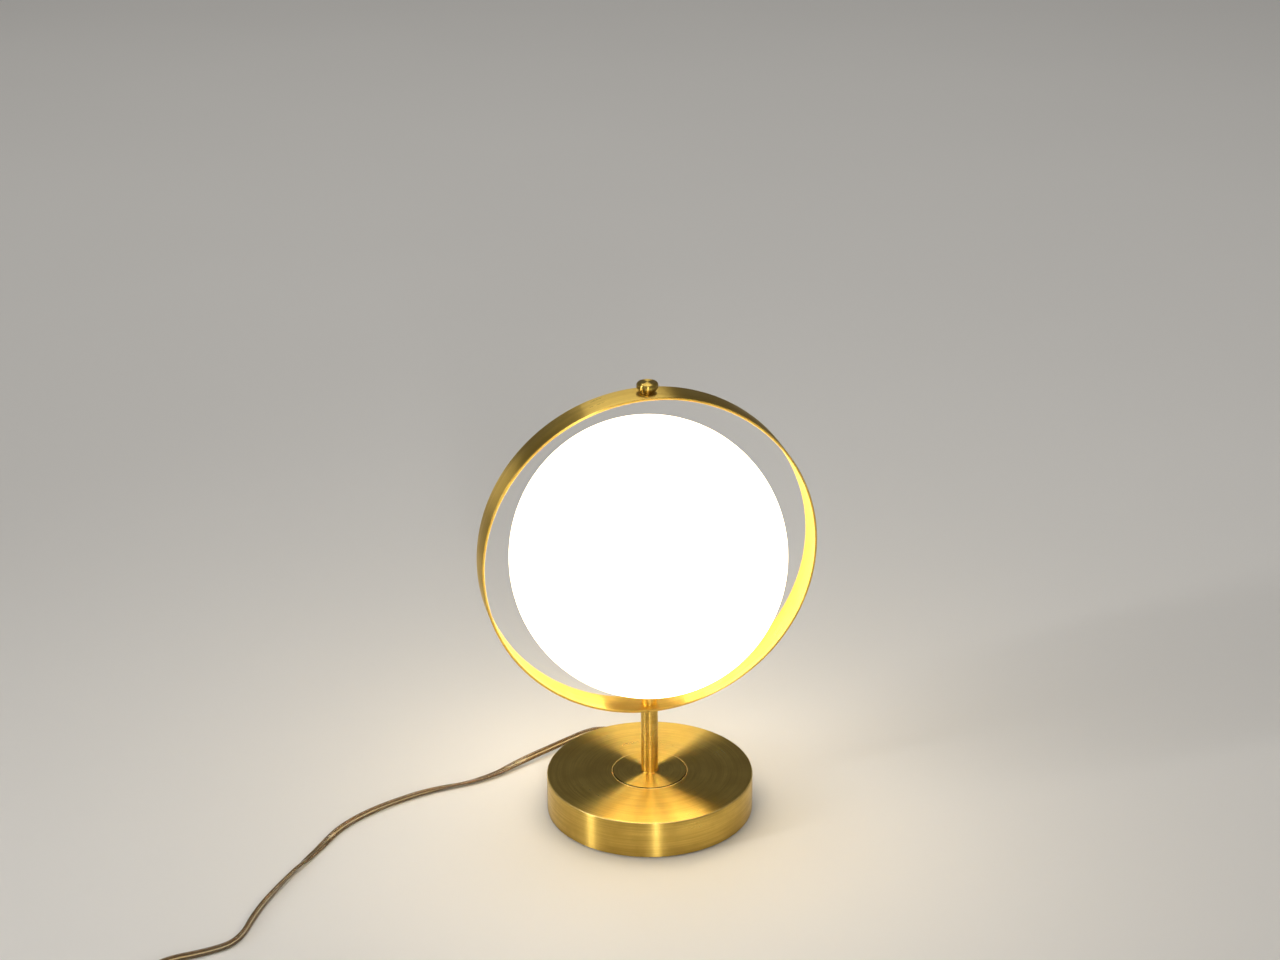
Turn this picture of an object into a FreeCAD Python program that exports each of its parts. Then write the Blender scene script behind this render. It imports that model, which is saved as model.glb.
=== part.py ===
"""Glass globe table lamp: a lit opal globe in a flat brass hoop, on a stem and a round weighted base.

Millimetres. The origin is the middle of the base on the surface that it stands on, and +Z is up.
The hoop's axis lies along Y, its front looks along -Y, and the lead leaves the base at +Y.
"""

import FreeCAD
import Part

import math
import os

import Sketcher
from FreeCAD import Placement, Rotation, Vector

# Driving sizes: name, millimetres, what it is
SIZES = [
    # Base
    ("base_radius", 73.4, "outer radius of the base shell"),
    ("base_height", 28.0, "top of the base shell above the table"),
    ("edge_lift", 1.0, "gap under the shell's lower edge"),
    ("shell_wall", 1.5, "side wall of the shell"),
    ("shell_top", 1.6, "top wall of the shell"),
    ("base_bevel", 0.7, "bevel round the shell's top edge"),
    ("pad_inset", 3.9, "foot pad's edge inside the shell's outer radius"),
    ("pad_thickness", 1.5, "thickness of the foot pad"),
    ("cover_thickness", 1.2, "thickness of the bottom cover"),
    ("cover_clearance", 0.4, "gap between cover and shell wall"),
    ("weight_thickness", 12.0, "thickness of the cast weight"),
    ("weight_clearance", 2.0, "gap between weight and shell wall"),
    ("boss_radius", 5.0, "radius of the weight's screw bosses"),
    ("boss_circle", 50.0, "radius of the circle that the bosses stand on"),
    ("disc_radius", 26.0, "radius of the raised disc on the base"),
    ("disc_thickness", 0.8, "thickness of the raised disc"),
    ("disc_bevel", 0.35, "bevel round the raised disc"),
    # Threaded rod, stem and the nuts
    ("rod_radius", 4.0, "outer radius of the hollow threaded rod"),
    ("rod_bore", 2.8, "radius of the rod's bore"),
    ("rod_end", 1.2, "rod that stands out of each nut"),
    ("thread_clearance", 0.05, "radial gap of a nut or screw in its thread"),
    ("hole_clearance", 0.3, "radial gap of a rod or screw in a plain hole"),
    ("nut_across", 13.0, "width across flats of the rod's nuts"),
    ("nut_height", 5.0, "height of the lower nut"),
    ("fitter_nut_height", 4.0, "height of the nut in the fitter"),
    ("washer_radius", 9.0, "radius of the lower washer"),
    ("fitter_washer_radius", 8.0, "radius of the washer in the fitter"),
    ("washer_thickness", 1.0, "thickness of both washers"),
    ("stem_radius", 6.1, "outer radius of the stem tube"),
    ("stem_bore", 4.5, "radius of the stem's bore"),
    ("stem_length", 52.0, "length of the stem tube"),
    # Hoop, knob and collar
    ("ring_radius", 117.6, "outer radius of the hoop"),
    ("ring_thickness", 1.8, "thickness of the hoop's strip"),
    ("ring_width", 22.2, "width of the hoop's strip"),
    ("ring_edge", 0.3, "rounding of the strip's edges"),
    ("collar_radius", 5.5, "outer radius of the collar"),
    ("knob_radius", 7.4, "largest radius of the knob"),
    ("knob_foot", 4.7, "radius of the knob's foot"),
    ("knob_waist", 3.9, "height at which the knob is widest"),
    ("knob_height", 7.6, "height of the knob"),
    ("knob_round", 2.2, "rounding of the knob's top edge"),
    ("knob_screw_radius", 2.0, "radius of the knob's screw"),
    ("knob_screw_depth", 4.8, "length of the screw in the knob"),
    ("knob_head_radius", 3.6, "radius of the screw's flat head"),
    ("knob_head_height", 1.8, "height of the screw's flat head"),
    # Fitter and globe
    ("fitter_step", 0.3, "underside of the fitter above the globe's rim"),
    ("fitter_radius", 24.0, "outer radius of the fitter cup"),
    ("fitter_wall", 1.2, "wall of the fitter cup"),
    ("fitter_height", 7.0, "height of the fitter cup"),
    ("gasket_width", 2.2, "width of the sealing ring"),
    ("gasket_thickness", 0.7, "thickness of the sealing ring"),
    ("seat_gap", 0.3, "gap between the sealing ring and the glass ledge"),
    ("globe_radius", 95.8, "horizontal radius of the globe"),
    ("globe_half_height", 98.0, "half the height of the whole globe"),
    ("globe_drop", 2.7, "globe's centre below the hoop's centre"),
    ("glass_thickness", 2.2, "wall of the globe"),
    ("neck_clearance", 0.3, "radial gap between fitter and glass neck"),
    ("neck_wall", 2.6, "wall of the glass neck"),
    ("ledge_width", 2.8, "width of the ledge inside the neck"),
    ("ledge_thickness", 2.8, "thickness of the ledge"),
    # Lamp holder and bulb
    ("holder_rise", 15.8, "underside of the lamp holder above the fitter's"),
    ("holder_radius", 11.0, "radius of the lamp holder"),
    ("holder_height", 18.0, "height of the lamp holder"),
    ("pin_pitch", 9.0, "distance between the bulb's two pins"),
    ("pin_thickness", 0.9, "thickness of a pin"),
    ("pin_width", 3.6, "width of a pin's loop"),
    ("pin_length", 10.0, "length of a pin below the bulb's base"),
    ("pin_root", 1.0, "pin inside the bulb's base"),
    ("pin_clearance", 0.3, "gap round a pin in its slot"),
    ("leaf_thickness", 0.4, "thickness of a contact leaf"),
    ("leaf_width", 4.0, "width of a contact leaf"),
    ("leaf_tail", 1.0, "leaf that stands out below the holder"),
    ("bracket_width", 10.0, "width of the holder's bracket"),
    ("bracket_thickness", 1.0, "thickness of the bracket's strip"),
    ("bracket_grip", 7.0, "bracket arm above the holder's underside"),
    ("screw_radius", 1.45, "radius of the small screws"),
    ("screw_head_radius", 2.75, "head radius of the small screws"),
    ("screw_head_height", 1.3, "head height of the small screws"),
    ("bracket_screw_length", 4.5, "length of the bracket's screws"),
    ("cover_screw_length", 8.0, "length of the cover's screws"),
    ("bulb_gap", 0.3, "gap between the holder and the bulb's base"),
    ("bulb_base_radius", 8.5, "radius of the bulb's base"),
    ("bulb_base_height", 13.7, "height of the bulb's base"),
    ("capsule_radius", 8.2, "radius of the bulb's capsule"),
    ("capsule_height", 36.0, "height of the bulb's capsule"),
    # Lead, bushing and clamp
    ("cord_width", 5.2, "width of the flat lead"),
    ("exit_height", 9.0, "height of the lead where it leaves the base"),
    ("bushing_bore", 2.75, "radius of the bushing's bore"),
    ("bushing_barrel", 4.1, "radius of the bushing where it passes the wall"),
    ("bushing_hole_gap", 0.1, "radial gap of the bushing in the wall"),
    ("bushing_flange", 5.2, "radius of the bushing's flange"),
    ("bushing_flange_thickness", 1.4, "thickness of the flange"),
    ("bushing_tip", 3.4, "radius of the bushing at its outer end"),
    ("bushing_outside", 10.0, "length of the bushing outside the wall"),
    ("bushing_inside", 10.0, "length of the bushing from the wall inwards"),
    ("bushing_lip", 4.9, "radius of the lip behind the wall"),
    ("bushing_groove", 0.4, "depth of the grooves in the bushing's tail"),
    ("lead_radius", 0.9, "radius of an insulated wire"),
    ("lead_spacing", 2.4, "distance between the two wires in the rod"),
    ("lead_drop", 12.0, "length over which the wires drop below the rod"),
    ("lead_bend", 6.0, "bend radius of the wires in the base"),
    ("lead_corner", 4.2, "bend radius of the wires under the rod"),
    ("lead_fan", 2.5, "bend radius of the wires over the rod"),
    ("clamp_length", 8.0, "length of the cord clamp along the lead"),
    ("clamp_width", 22.0, "width of the cord clamp"),
    ("clamp_place", 45.0, "clamp's middle behind the lamp's axis"),
    ("clamp_floor", 1.6, "clamp below the lead"),
    ("clamp_clearance", 0.15, "radial gap of the lead in the clamp"),
    ("clamp_screw_pitch", 15.0, "distance between the clamp's screws"),
    ("clamp_screw_length", 13.0, "length of the clamp's screws"),
    # In-line switch
    ("switch_length", 50.0, "length of the switch"),
    ("switch_width", 24.0, "width of the switch"),
    ("switch_half", 8.0, "height of one half of the switch"),
    ("switch_offset", 5.5, "switch's middle beside the lead"),
    ("switch_corner", 9.0, "corner radius of the switch seen from above"),
    ("switch_round", 2.0, "rounding of the switch's long edges"),
    ("switch_wall", 1.8, "wall of the switch"),
    ("cord_entry", 5.0, "lead inside a switch end"),
    ("wheel_radius", 8.5, "radius of the switch wheel"),
    ("wheel_thickness", 5.0, "thickness of the switch wheel"),
    ("wheel_offset", 12.0, "wheel's axis beside the lead"),
    ("wheel_clearance", 0.4, "gap round the wheel in its slot"),
    ("notch_radius", 0.6, "radius of a grip notch in the wheel's rim"),
    ("spindle_radius", 1.5, "radius of the wheel's spindle"),
    ("spindle_clearance", 0.06, "radial gap of the spindle in its bosses"),
    ("pillar_radius", 3.2, "radius of the switch's inner pillars"),
    ("pillar_gap", 1.0, "gap between a pillar and the switch's wall"),
    ("pillar_pitch", 34.0, "distance between the switch's screws"),
    ("switch_screw_length", 8.0, "length of the switch's screws"),
    ("counterbore_depth", 2.4, "depth of the switch's screw recesses"),
    ("contact_length", 11.0, "length of a switch contact"),
    ("contact_height", 9.0, "height of a switch contact"),
    ("contact_thickness", 0.5, "thickness of a switch contact"),
    ("contact_place", 3.0, "contact's near face beside the lead's middle"),
    # Coil, tie and plug
    ("coil_radius", 37.0, "radius of the coil's outermost turn"),
    ("coil_pitch", 5.8, "distance between turns side by side"),
    ("layer_pitch", 5.8, "distance between the two layers"),
    ("tie_thickness", 0.9, "thickness of the coil's tie"),
    ("tie_width", 7.0, "width of the coil's tie"),
    ("tie_gap", 0.3, "gap between tie and turns"),
    ("tie_inner_gap", 1.1, "gap on the coil's inner side"),
    ("plug_length", 20.0, "length of the plug's body"),
    ("plug_width", 24.0, "width of the plug's body"),
    ("plug_height", 13.0, "height of the plug's body"),
    ("plug_round", 2.5, "rounding of the plug's body"),
    ("plug_tail", 18.0, "length of the plug's tapered tail"),
    ("plug_tail_tip", 3.6, "radius of the tail's end"),
    ("plug_tail_root", 5.2, "radius of the tail at the body"),
    ("plug_bore_depth", 8.0, "depth of the lead's bore in the tail"),
    ("plug_bore_spare", 2.0, "bore beyond the lead's end"),
    ("blade_length", 17.5, "plug blade outside the body"),
    ("blade_depth", 7.0, "plug blade inside the body"),
    ("blade_width", 6.35, "width of a plug blade"),
    ("blade_thickness", 1.5, "thickness of a plug blade"),
    ("blade_pitch", 12.7, "distance between the plug blades"),
    ("blade_hole", 1.6, "radius of the hole in a blade"),
    ("blade_hole_place", 14.0, "hole's middle outside the plug's body"),
]
BOSSES = 3
BUSHING_RIBS = 7
WHEEL_NOTCHES = 24
FIRST_BOSS_ANGLE = 30.0

# Where the loose pieces lie, in the lamp's own frame. The lead leaves the picture near (-349, -121).
SWITCH_PLACE = (-313.5, -189.1)
SWITCH_HEADING = -13.0
COIL_CENTRE = (-240.2, -220.0)
COIL_START_ANGLE = 115.0
COIL_END_ANGLE = 47.0
COIL_WHOLE_TURNS = 6
TIE_ANGLE = 262.0
PLUG_PLACE = (-167.0, -227.7)
PLUG_HEADING = -27.0

# Route of the lead from the base to the switch: the corners of its runs, chosen along the photographed lead
ROUTE = [
    (0.0, 74.0, 9.0),
    (0.0, 90.5, 9.0),
    (-8.5, 101.5, 8.4),
    (-22.0, 104.5, 7.4),
    (-46.0, 93.5, 5.9),
    (-78.0, 77.5, 4.5),
    (-110.0, 60.0, 3.2),
    (-149.0, 54.5, 2.65),
    (-185.0, 41.0, 2.65),
    (-217.0, 21.0, 2.65),
    (-241.0, -10.0, 2.65),
    (-266.0, -43.5, 2.65),
    (-287.0, -77.0, 2.65),
    (-301.0, -110.5, 2.65),
    (-322.0, -118.0, 2.65),
    (-352.0, -121.5, 2.65),
    (-368.5, -138.0, 2.65),
    (-369.5, -161.0, 4.6),
    (-355.98, -179.29, 8.0),
]
# From the switch to the coil, after the switch's own end
LINK = [
    (-284.27, -195.85, 8.0),
    (-269.77, -192.54, 3.8),
]
# From the coil's last turn down to the plug
TAIL = [
    (-199.11, -207.01, 9.6),
    (-175.91, -223.16, 6.5),
]

doc = FreeCAD.newDocument("globe_table_lamp")
sheet = doc.addObject("Spreadsheet::Sheet", "sizes")
for row, (alias, value, meaning) in enumerate(SIZES, start=1):
    sheet.set(f"A{row}", alias)
    sheet.set(f"B{row}", str(value))
    sheet.setAlias(f"B{row}", alias)
    sheet.set(f"C{row}", meaning)
doc.recompute()


def value_of(expression):
    """The number that an expression on the sheet's sizes gives."""
    return float(sheet.evalExpression(str(expression)))


def size(name):
    """One driving size, as a number."""
    return value_of(f"sizes.{name}")


# Levels and radii that several pieces share, as expressions on the sheet
COVER_TOP = "(sizes.pad_thickness + sizes.cover_thickness)"
SHELL_INSIDE = "(sizes.base_radius - sizes.shell_wall)"
WEIGHT_TOP = "(sizes.base_height - sizes.shell_top)"
WEIGHT_BOTTOM = f"({WEIGHT_TOP} - sizes.weight_thickness)"
WASHER_BOTTOM = f"({WEIGHT_BOTTOM} - sizes.washer_thickness)"
NUT_BOTTOM = f"({WASHER_BOTTOM} - sizes.nut_height)"
ROD_BOTTOM = f"({NUT_BOTTOM} - sizes.rod_end)"
DISC_TOP = "(sizes.base_height + sizes.disc_thickness)"
STEM_TOP = f"({DISC_TOP} + sizes.stem_length)"
RING_CENTRE = f"({STEM_TOP} + sizes.ring_radius)"
RING_INSIDE = "(sizes.ring_radius - sizes.ring_thickness)"
RING_FLOOR = f"({STEM_TOP} + sizes.ring_thickness)"
RING_TOP = f"({RING_CENTRE} + sizes.ring_radius)"
GLOBE_CENTRE = f"({RING_CENTRE} - sizes.globe_drop)"
NECK_INSIDE = "(sizes.fitter_radius + sizes.neck_clearance)"
NECK_OUTSIDE = f"({NECK_INSIDE} + sizes.neck_wall)"
GLOBE_RIM = f"({GLOBE_CENTRE} - sizes.globe_half_height * sqrt(1 - ({NECK_INSIDE} / sizes.globe_radius)^2))"
FITTER_BOTTOM = f"({GLOBE_RIM} + sizes.fitter_step)"
FITTER_FLOOR = f"({FITTER_BOTTOM} + sizes.fitter_wall)"
FITTER_TOP = f"({FITTER_BOTTOM} + sizes.fitter_height)"
BRACKET_TOP = f"({FITTER_FLOOR} + sizes.bracket_thickness)"
FITTER_NUT_BOTTOM = f"({BRACKET_TOP} + sizes.washer_thickness)"
ROD_TOP = f"({FITTER_NUT_BOTTOM} + sizes.fitter_nut_height + sizes.rod_end)"
GASKET_TOP = f"({FITTER_TOP} + sizes.gasket_thickness)"
LEDGE_BOTTOM = f"({GASKET_TOP} + sizes.seat_gap)"
LEDGE_TOP = f"({LEDGE_BOTTOM} + sizes.ledge_thickness)"
HOLDER_BOTTOM = f"({FITTER_BOTTOM} + sizes.holder_rise)"
HOLDER_TOP = f"({HOLDER_BOTTOM} + sizes.holder_height)"
BULB_BOTTOM = f"({HOLDER_TOP} + sizes.bulb_gap)"
CAPSULE_BOTTOM = f"({BULB_BOTTOM} + sizes.bulb_base_height)"
LEAF_FACE = "(sizes.pin_pitch / 2 + sizes.pin_thickness / 2 + sizes.pin_clearance)"
ROD_HOLE = "(sizes.rod_radius + sizes.hole_clearance)"
SCREW_HOLE = "(sizes.screw_radius + sizes.hole_clearance)"
SCREW_LEVEL = f"({HOLDER_BOTTOM} + sizes.bracket_grip / 2)"
PILLAR_LINE = ("(sizes.switch_offset + sizes.switch_width / 2 - sizes.switch_wall"
               " - sizes.pillar_radius - sizes.pillar_gap)")
BRACKET_INSIDE = "(sizes.holder_radius + sizes.thread_clearance)"
BRACKET_OUTSIDE = f"({BRACKET_INSIDE} + sizes.bracket_thickness)"
CORD_RADIUS = "(sizes.cord_width / 2)"


def named(obj, label):
    """Give a sub-part its label, which is also its file's name."""
    obj.Label = label
    return obj


def bound(obj, **expressions):
    """Bind an object's properties to expressions, with a double underscore for each dot."""
    for name, expression in expressions.items():
        obj.setExpression(name.replace("__", "."), str(expression))
    return obj


def cylinder(radius, height, bottom="0", x="0", y="0"):
    """An upright cylinder, as a document object."""
    obj = doc.addObject("Part::Cylinder", "cylinder")
    return bound(obj, Radius=radius, Height=height, Placement__Base__x=x, Placement__Base__y=y,
                 Placement__Base__z=bottom)


def lying_cylinder(radius, length, x="0", y="0", z="0", along="x"):
    """A cylinder whose axis lies along X or Y, starting at the given point."""
    obj = doc.addObject("Part::Cylinder", "cylinder")
    axis, turn = (Vector(0, 1, 0), 90) if along == "x" else (Vector(1, 0, 0), -90)
    obj.Placement = Placement(Vector(0, 0, 0), Rotation(axis, turn))
    return bound(obj, Radius=radius, Height=length, Placement__Base__x=x, Placement__Base__y=y,
                 Placement__Base__z=z)


def block(x_size, y_size, z_size, x="0", y="0", z="0"):
    """A box that is centred on x and y and stands on z."""
    obj = doc.addObject("Part::Box", "block")
    return bound(obj, Length=x_size, Width=y_size, Height=z_size,
                 Placement__Base__x=f"({x}) - ({x_size}) / 2",
                 Placement__Base__y=f"({y}) - ({y_size}) / 2", Placement__Base__z=z)


def hexagon(across, height, bottom="0"):
    """A hexagonal prism of a given width across its flats."""
    obj = doc.addObject("Part::Prism", "hexagon")
    obj.Polygon = 6
    return bound(obj, Circumradius=f"({across}) / sqrt(3)", Height=height, Placement__Base__z=bottom)


def joined(*pieces):
    obj = doc.addObject("Part::MultiFuse", "joined")
    obj.Shapes = list(pieces)
    return obj


def without(base, *tools):
    """The base solid with the tools cut out of it."""
    obj = doc.addObject("Part::Cut", "cut")
    obj.Base = base
    obj.Tool = tools[0] if len(tools) == 1 else joined(*tools)
    return obj


def group(*pieces):
    """Several separate solids in one sub-part."""
    obj = doc.addObject("Part::Compound", "group")
    obj.Links = list(pieces)
    return obj


def origin_plane(body, role):
    return [plane for plane in body.Origin.OriginFeatures if plane.Role == role][0]


def new_sketch(body, name, role="XZ_Plane", height=None):
    sketch = body.newObject("Sketcher::SketchObject", name)
    sketch.AttachmentSupport = [(origin_plane(body, role), "")]
    sketch.MapMode = "FlatFace"
    if height is not None:
        sketch.setExpression("AttachmentOffset.Base.z", height)
    return sketch


def pin_point(sketch, line, end, place, prefix):
    """Tie one sketch point to two expressions."""
    for axis, kind, datum, expression in ((-2, "DistanceX", "x", place[0]), (-1, "DistanceY", "y", place[1])):
        at = value_of(expression)
        if abs(at) < 1e-9:
            sketch.addConstraint(Sketcher.Constraint("PointOnObject", line, end, axis))
            continue
        number = sketch.addConstraint(Sketcher.Constraint(kind, -1, 1, line, end, at))
        sketch.renameConstraint(number, f"{prefix}_{datum}")
        sketch.setExpression(f"Constraints.{prefix}_{datum}", str(expression))


def outline(sketch, corners):
    """A closed outline of straight lines whose corners are pairs of expressions."""
    places = [Vector(value_of(x), value_of(y), 0) for x, y in corners]
    first = sketch.GeometryCount
    for number, place in enumerate(places):
        sketch.addGeometry(Part.LineSegment(place, places[(number + 1) % len(places)]), False)
    for number in range(len(places)):
        following = first + (number + 1) % len(places)
        sketch.addConstraint(Sketcher.Constraint("Coincident", first + number, 2, following, 1))
    for number, corner in enumerate(corners):
        pin_point(sketch, first + number, 1, corner, f"corner{first + number}")


def circle(sketch, radius, x="0", y="0"):
    """A circle in a sketch, with its radius and centre tied to expressions."""
    centre = Vector(value_of(x), value_of(y), 0)
    number = sketch.addGeometry(Part.Circle(centre, Vector(0, 0, 1), value_of(radius)), False)
    place = sketch.addConstraint(Sketcher.Constraint("Radius", number, value_of(radius)))
    sketch.renameConstraint(place, f"radius{number}")
    sketch.setExpression(f"Constraints.radius{number}", str(radius))
    pin_point(sketch, number, 3, (x, y), f"centre{number}")
    return number


def new_body(label):
    body = doc.addObject("PartDesign::Body", label)
    return named(body, label)


def revolved(body, corners, name="turned"):
    """A solid of revolution about Z from corners given as radius and height."""
    sketch = new_sketch(body, f"{name}_profile")
    outline(sketch, corners)
    feature = body.newObject("PartDesign::Revolution", name)
    feature.Profile = sketch
    feature.ReferenceAxis = (sketch, ["V_Axis"])
    feature.Angle = 360
    doc.recompute()
    return feature


def padded(body, sketch, length, name="pad", symmetric=False, upward=True):
    feature = body.newObject("PartDesign::Pad", name)
    feature.Profile = sketch
    feature.setExpression("Length", str(length))
    if symmetric:
        feature.SideType = "Symmetric"
    feature.Reversed = not upward
    doc.recompute()
    return feature


def pocketed(body, sketch, name="pocket"):
    """Cut a sketch right through the body, both ways from its plane."""
    before = body.Shape.Volume
    feature = body.newObject("PartDesign::Pocket", name)
    feature.Profile = sketch
    feature.Type = "ThroughAll"
    feature.Midplane = True
    doc.recompute()
    if not feature.Shape.Volume < before:
        raise RuntimeError(f"{body.Label}: {name} cuts nothing")
    return feature


def repeated(body, feature, count, name="pattern"):
    """Repeat a feature round the Z axis."""
    pattern = body.newObject("PartDesign::PolarPattern", name)
    pattern.Originals = [feature]
    pattern.Axis = (body.Origin.OriginFeatures[2], [""])
    pattern.Angle = 360
    pattern.Occurrences = count
    body.Tip = pattern
    doc.recompute()
    return pattern


def edges_where(feature, test):
    """The names of a feature's edges that pass a test."""
    return [f"Edge{number}" for number, edge in enumerate(feature.Shape.Edges, start=1) if test(edge)]


def round_edge_at(radius, height):
    """A test for a full circle of this radius, at this height, about the Z axis."""
    def test(edge):
        curve = edge.Curve
        if not isinstance(curve, Part.Circle):
            return False
        off_axis = math.hypot(curve.Center.x, curve.Center.y)
        return off_axis < 1e-6 and abs(curve.Radius - radius) < 1e-4 and abs(curve.Center.z - height) < 1e-4
    return test


def dressed(body, kind, feature, test, amount, name):
    """A fillet or chamfer on the feature's edges that pass the test."""
    dressing = body.newObject(f"PartDesign::{kind}", name)
    dressing.Base = (feature, edges_where(feature, test))
    dressing.setExpression("Radius" if kind == "Fillet" else "Size", str(amount))
    doc.recompute()
    return dressing


# Base


def foot_pad():
    body = new_body("foot_pad")
    sketch = new_sketch(body, "disc", "XY_Plane")
    circle(sketch, "(sizes.base_radius - sizes.pad_inset)")
    padded(body, sketch, "sizes.pad_thickness")
    boss_holes(body, "(sizes.screw_head_radius + 2 * sizes.hole_clearance)")


def boss_holes(body, radius):
    """One hole through a body at each of the weight's bosses."""
    sketch = new_sketch(body, "hole", "XY_Plane")
    angle = f"{FIRST_BOSS_ANGLE} deg"
    circle(sketch, radius, f"sizes.boss_circle * cos({angle})", f"sizes.boss_circle * sin({angle})")
    repeated(body, pocketed(body, sketch, "boss_hole"), BOSSES)


def bottom_cover():
    body = new_body("bottom_cover")
    sketch = new_sketch(body, "disc", "XY_Plane", "sizes.pad_thickness")
    circle(sketch, f"({SHELL_INSIDE} - sizes.cover_clearance)")
    padded(body, sketch, "sizes.cover_thickness")
    boss_holes(body, SCREW_HOLE)


def cover_screws():
    screws = []
    for number in range(BOSSES):
        angle = f"{FIRST_BOSS_ANGLE + 360 / BOSSES * number} deg"
        place = {"x": f"sizes.boss_circle * cos({angle})", "y": f"sizes.boss_circle * sin({angle})"}
        head = cylinder("sizes.screw_head_radius", "sizes.screw_head_height",
                        "sizes.pad_thickness - sizes.screw_head_height", **place)
        shank = cylinder("sizes.screw_radius", "sizes.cover_screw_length", "sizes.pad_thickness", **place)
        screws.append(joined(head, shank))
    named(group(*screws), "cover_screws")


def base_shell():
    """A spun cup, open below, with a hole for the rod and one for the lead's bushing."""
    body = new_body("base_shell")
    feature = revolved(body, [
        (ROD_HOLE, WEIGHT_TOP),
        (SHELL_INSIDE, WEIGHT_TOP),
        (SHELL_INSIDE, "sizes.edge_lift"),
        ("sizes.base_radius", "sizes.edge_lift"),
        ("sizes.base_radius", "sizes.base_height"),
        (ROD_HOLE, "sizes.base_height"),
    ])
    rim = round_edge_at(size("base_radius"), size("base_height"))
    dressed(body, "Chamfer", feature, rim, "sizes.base_bevel", "top_bevel")
    sketch = new_sketch(body, "lead_hole", "XZ_Plane")
    circle(sketch, "(sizes.bushing_barrel + sizes.bushing_hole_gap)", "0", "sizes.exit_height")
    before = body.Shape.Volume
    hole = body.newObject("PartDesign::Pocket", "lead_pocket")
    hole.Profile = sketch
    hole.setExpression("Length", "2 * sizes.base_radius")
    hole.Reversed = False
    doc.recompute()
    if not hole.Shape.Volume < before or not rear_is_open(hole.Shape):
        hole.Reversed = True
        doc.recompute()
    if not rear_is_open(hole.Shape):
        raise RuntimeError("base_shell: the lead's hole isn't in the rear wall")


def rear_is_open(shape):
    """Whether the shell's rear wall has the lead's hole."""
    middle = Vector(0, size("base_radius") - size("shell_wall") / 2, size("exit_height"))
    return not shape.isInside(middle, 1e-6, True)


def base_weight():
    """Cast disc clamped under the shell's top, with screw bosses that carry the cover."""
    body = new_body("base_weight")
    disc = new_sketch(body, "disc", "XY_Plane", WEIGHT_BOTTOM)
    circle(disc, f"({SHELL_INSIDE} - sizes.weight_clearance)")
    padded(body, disc, "sizes.weight_thickness", "disc_pad")
    boss = new_sketch(body, "boss", "XY_Plane", WEIGHT_BOTTOM)
    angle = f"{FIRST_BOSS_ANGLE} deg"
    place = (f"sizes.boss_circle * cos({angle})", f"sizes.boss_circle * sin({angle})")
    circle(boss, "sizes.boss_radius", *place)
    bosses = padded(body, boss, f"({WEIGHT_BOTTOM} - {COVER_TOP})", "boss_pad", upward=False)
    repeated(body, bosses, BOSSES, "boss_pattern")
    boss_holes(body, "(sizes.screw_radius + sizes.thread_clearance)")
    centre = new_sketch(body, "rod_hole", "XY_Plane")
    circle(centre, ROD_HOLE)
    pocketed(body, centre, "rod_pocket")
    screws = new_sketch(body, "clamp_holes", "XY_Plane")
    for side in (-1, 1):
        circle(screws, "(sizes.screw_radius + sizes.thread_clearance)",
               f"{side} * sizes.clamp_screw_pitch / 2", "sizes.clamp_place")
    pocketed(body, screws, "clamp_pockets")


def base_disc():
    body = new_body("base_disc")
    feature = revolved(body, [
        (ROD_HOLE, "sizes.base_height"),
        ("sizes.disc_radius", "sizes.base_height"),
        ("sizes.disc_radius", DISC_TOP),
        (ROD_HOLE, DISC_TOP),
    ])
    rim = round_edge_at(size("disc_radius"), value_of(DISC_TOP))
    dressed(body, "Chamfer", feature, rim, "sizes.disc_bevel", "rim_bevel")


# Column


def tube(label, outer, inner, bottom, top):
    """An upright tube, as a turned body."""
    body = new_body(label)
    revolved(body, [(inner, bottom), (outer, bottom), (outer, top), (inner, top)])
    return body


def washer(label, radius, bottom):
    return tube(label, radius, ROD_HOLE, bottom, f"({bottom} + sizes.washer_thickness)")


def rod_nut(label, height, bottom):
    bore = cylinder("sizes.rod_radius + sizes.thread_clearance", height, bottom)
    named(without(hexagon("sizes.nut_across", height, bottom), bore), label)


def column():
    tube("threaded_rod", "sizes.rod_radius", "sizes.rod_bore", ROD_BOTTOM, ROD_TOP)
    washer("base_washer", "sizes.washer_radius", WASHER_BOTTOM)
    rod_nut("base_nut", "sizes.nut_height", NUT_BOTTOM)
    tube("stem_tube", "sizes.stem_radius", "sizes.stem_bore", DISC_TOP, STEM_TOP)


# Hoop, knob and collar


def sagitta(radius):
    """How far the hoop's inside curves away over a flat end of this radius."""
    return f"({RING_INSIDE} - sqrt({RING_INSIDE}^2 - ({radius})^2))"


def ring_hoop():
    body = new_body("ring_hoop")
    sketch = new_sketch(body, "circles", "XZ_Plane")
    circle(sketch, "sizes.ring_radius", "0", RING_CENTRE)
    circle(sketch, RING_INSIDE, "0", RING_CENTRE)
    strip = padded(body, sketch, "sizes.ring_width", "strip", symmetric=True)
    dressed(body, "Fillet", strip, lambda edge: isinstance(edge.Curve, Part.Circle), "sizes.ring_edge",
            "edge_rounding")
    for name, radius, low, high in (
        ("stem_hole", ROD_HOLE, STEM_TOP, RING_CENTRE),
        ("knob_hole", "(sizes.knob_screw_radius + sizes.hole_clearance)", RING_CENTRE, RING_TOP),
    ):
        hole = new_sketch(body, name, "XY_Plane", low)
        circle(hole, radius)
        before = body.Shape.Volume
        feature = body.newObject("PartDesign::Pocket", f"{name}_pocket")
        feature.Profile = hole
        feature.setExpression("Length", f"{high} - {low}")
        feature.Reversed = True
        doc.recompute()
        if not feature.Shape.Volume < before:
            raise RuntimeError(f"ring_hoop: {name} cuts nothing")


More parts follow.
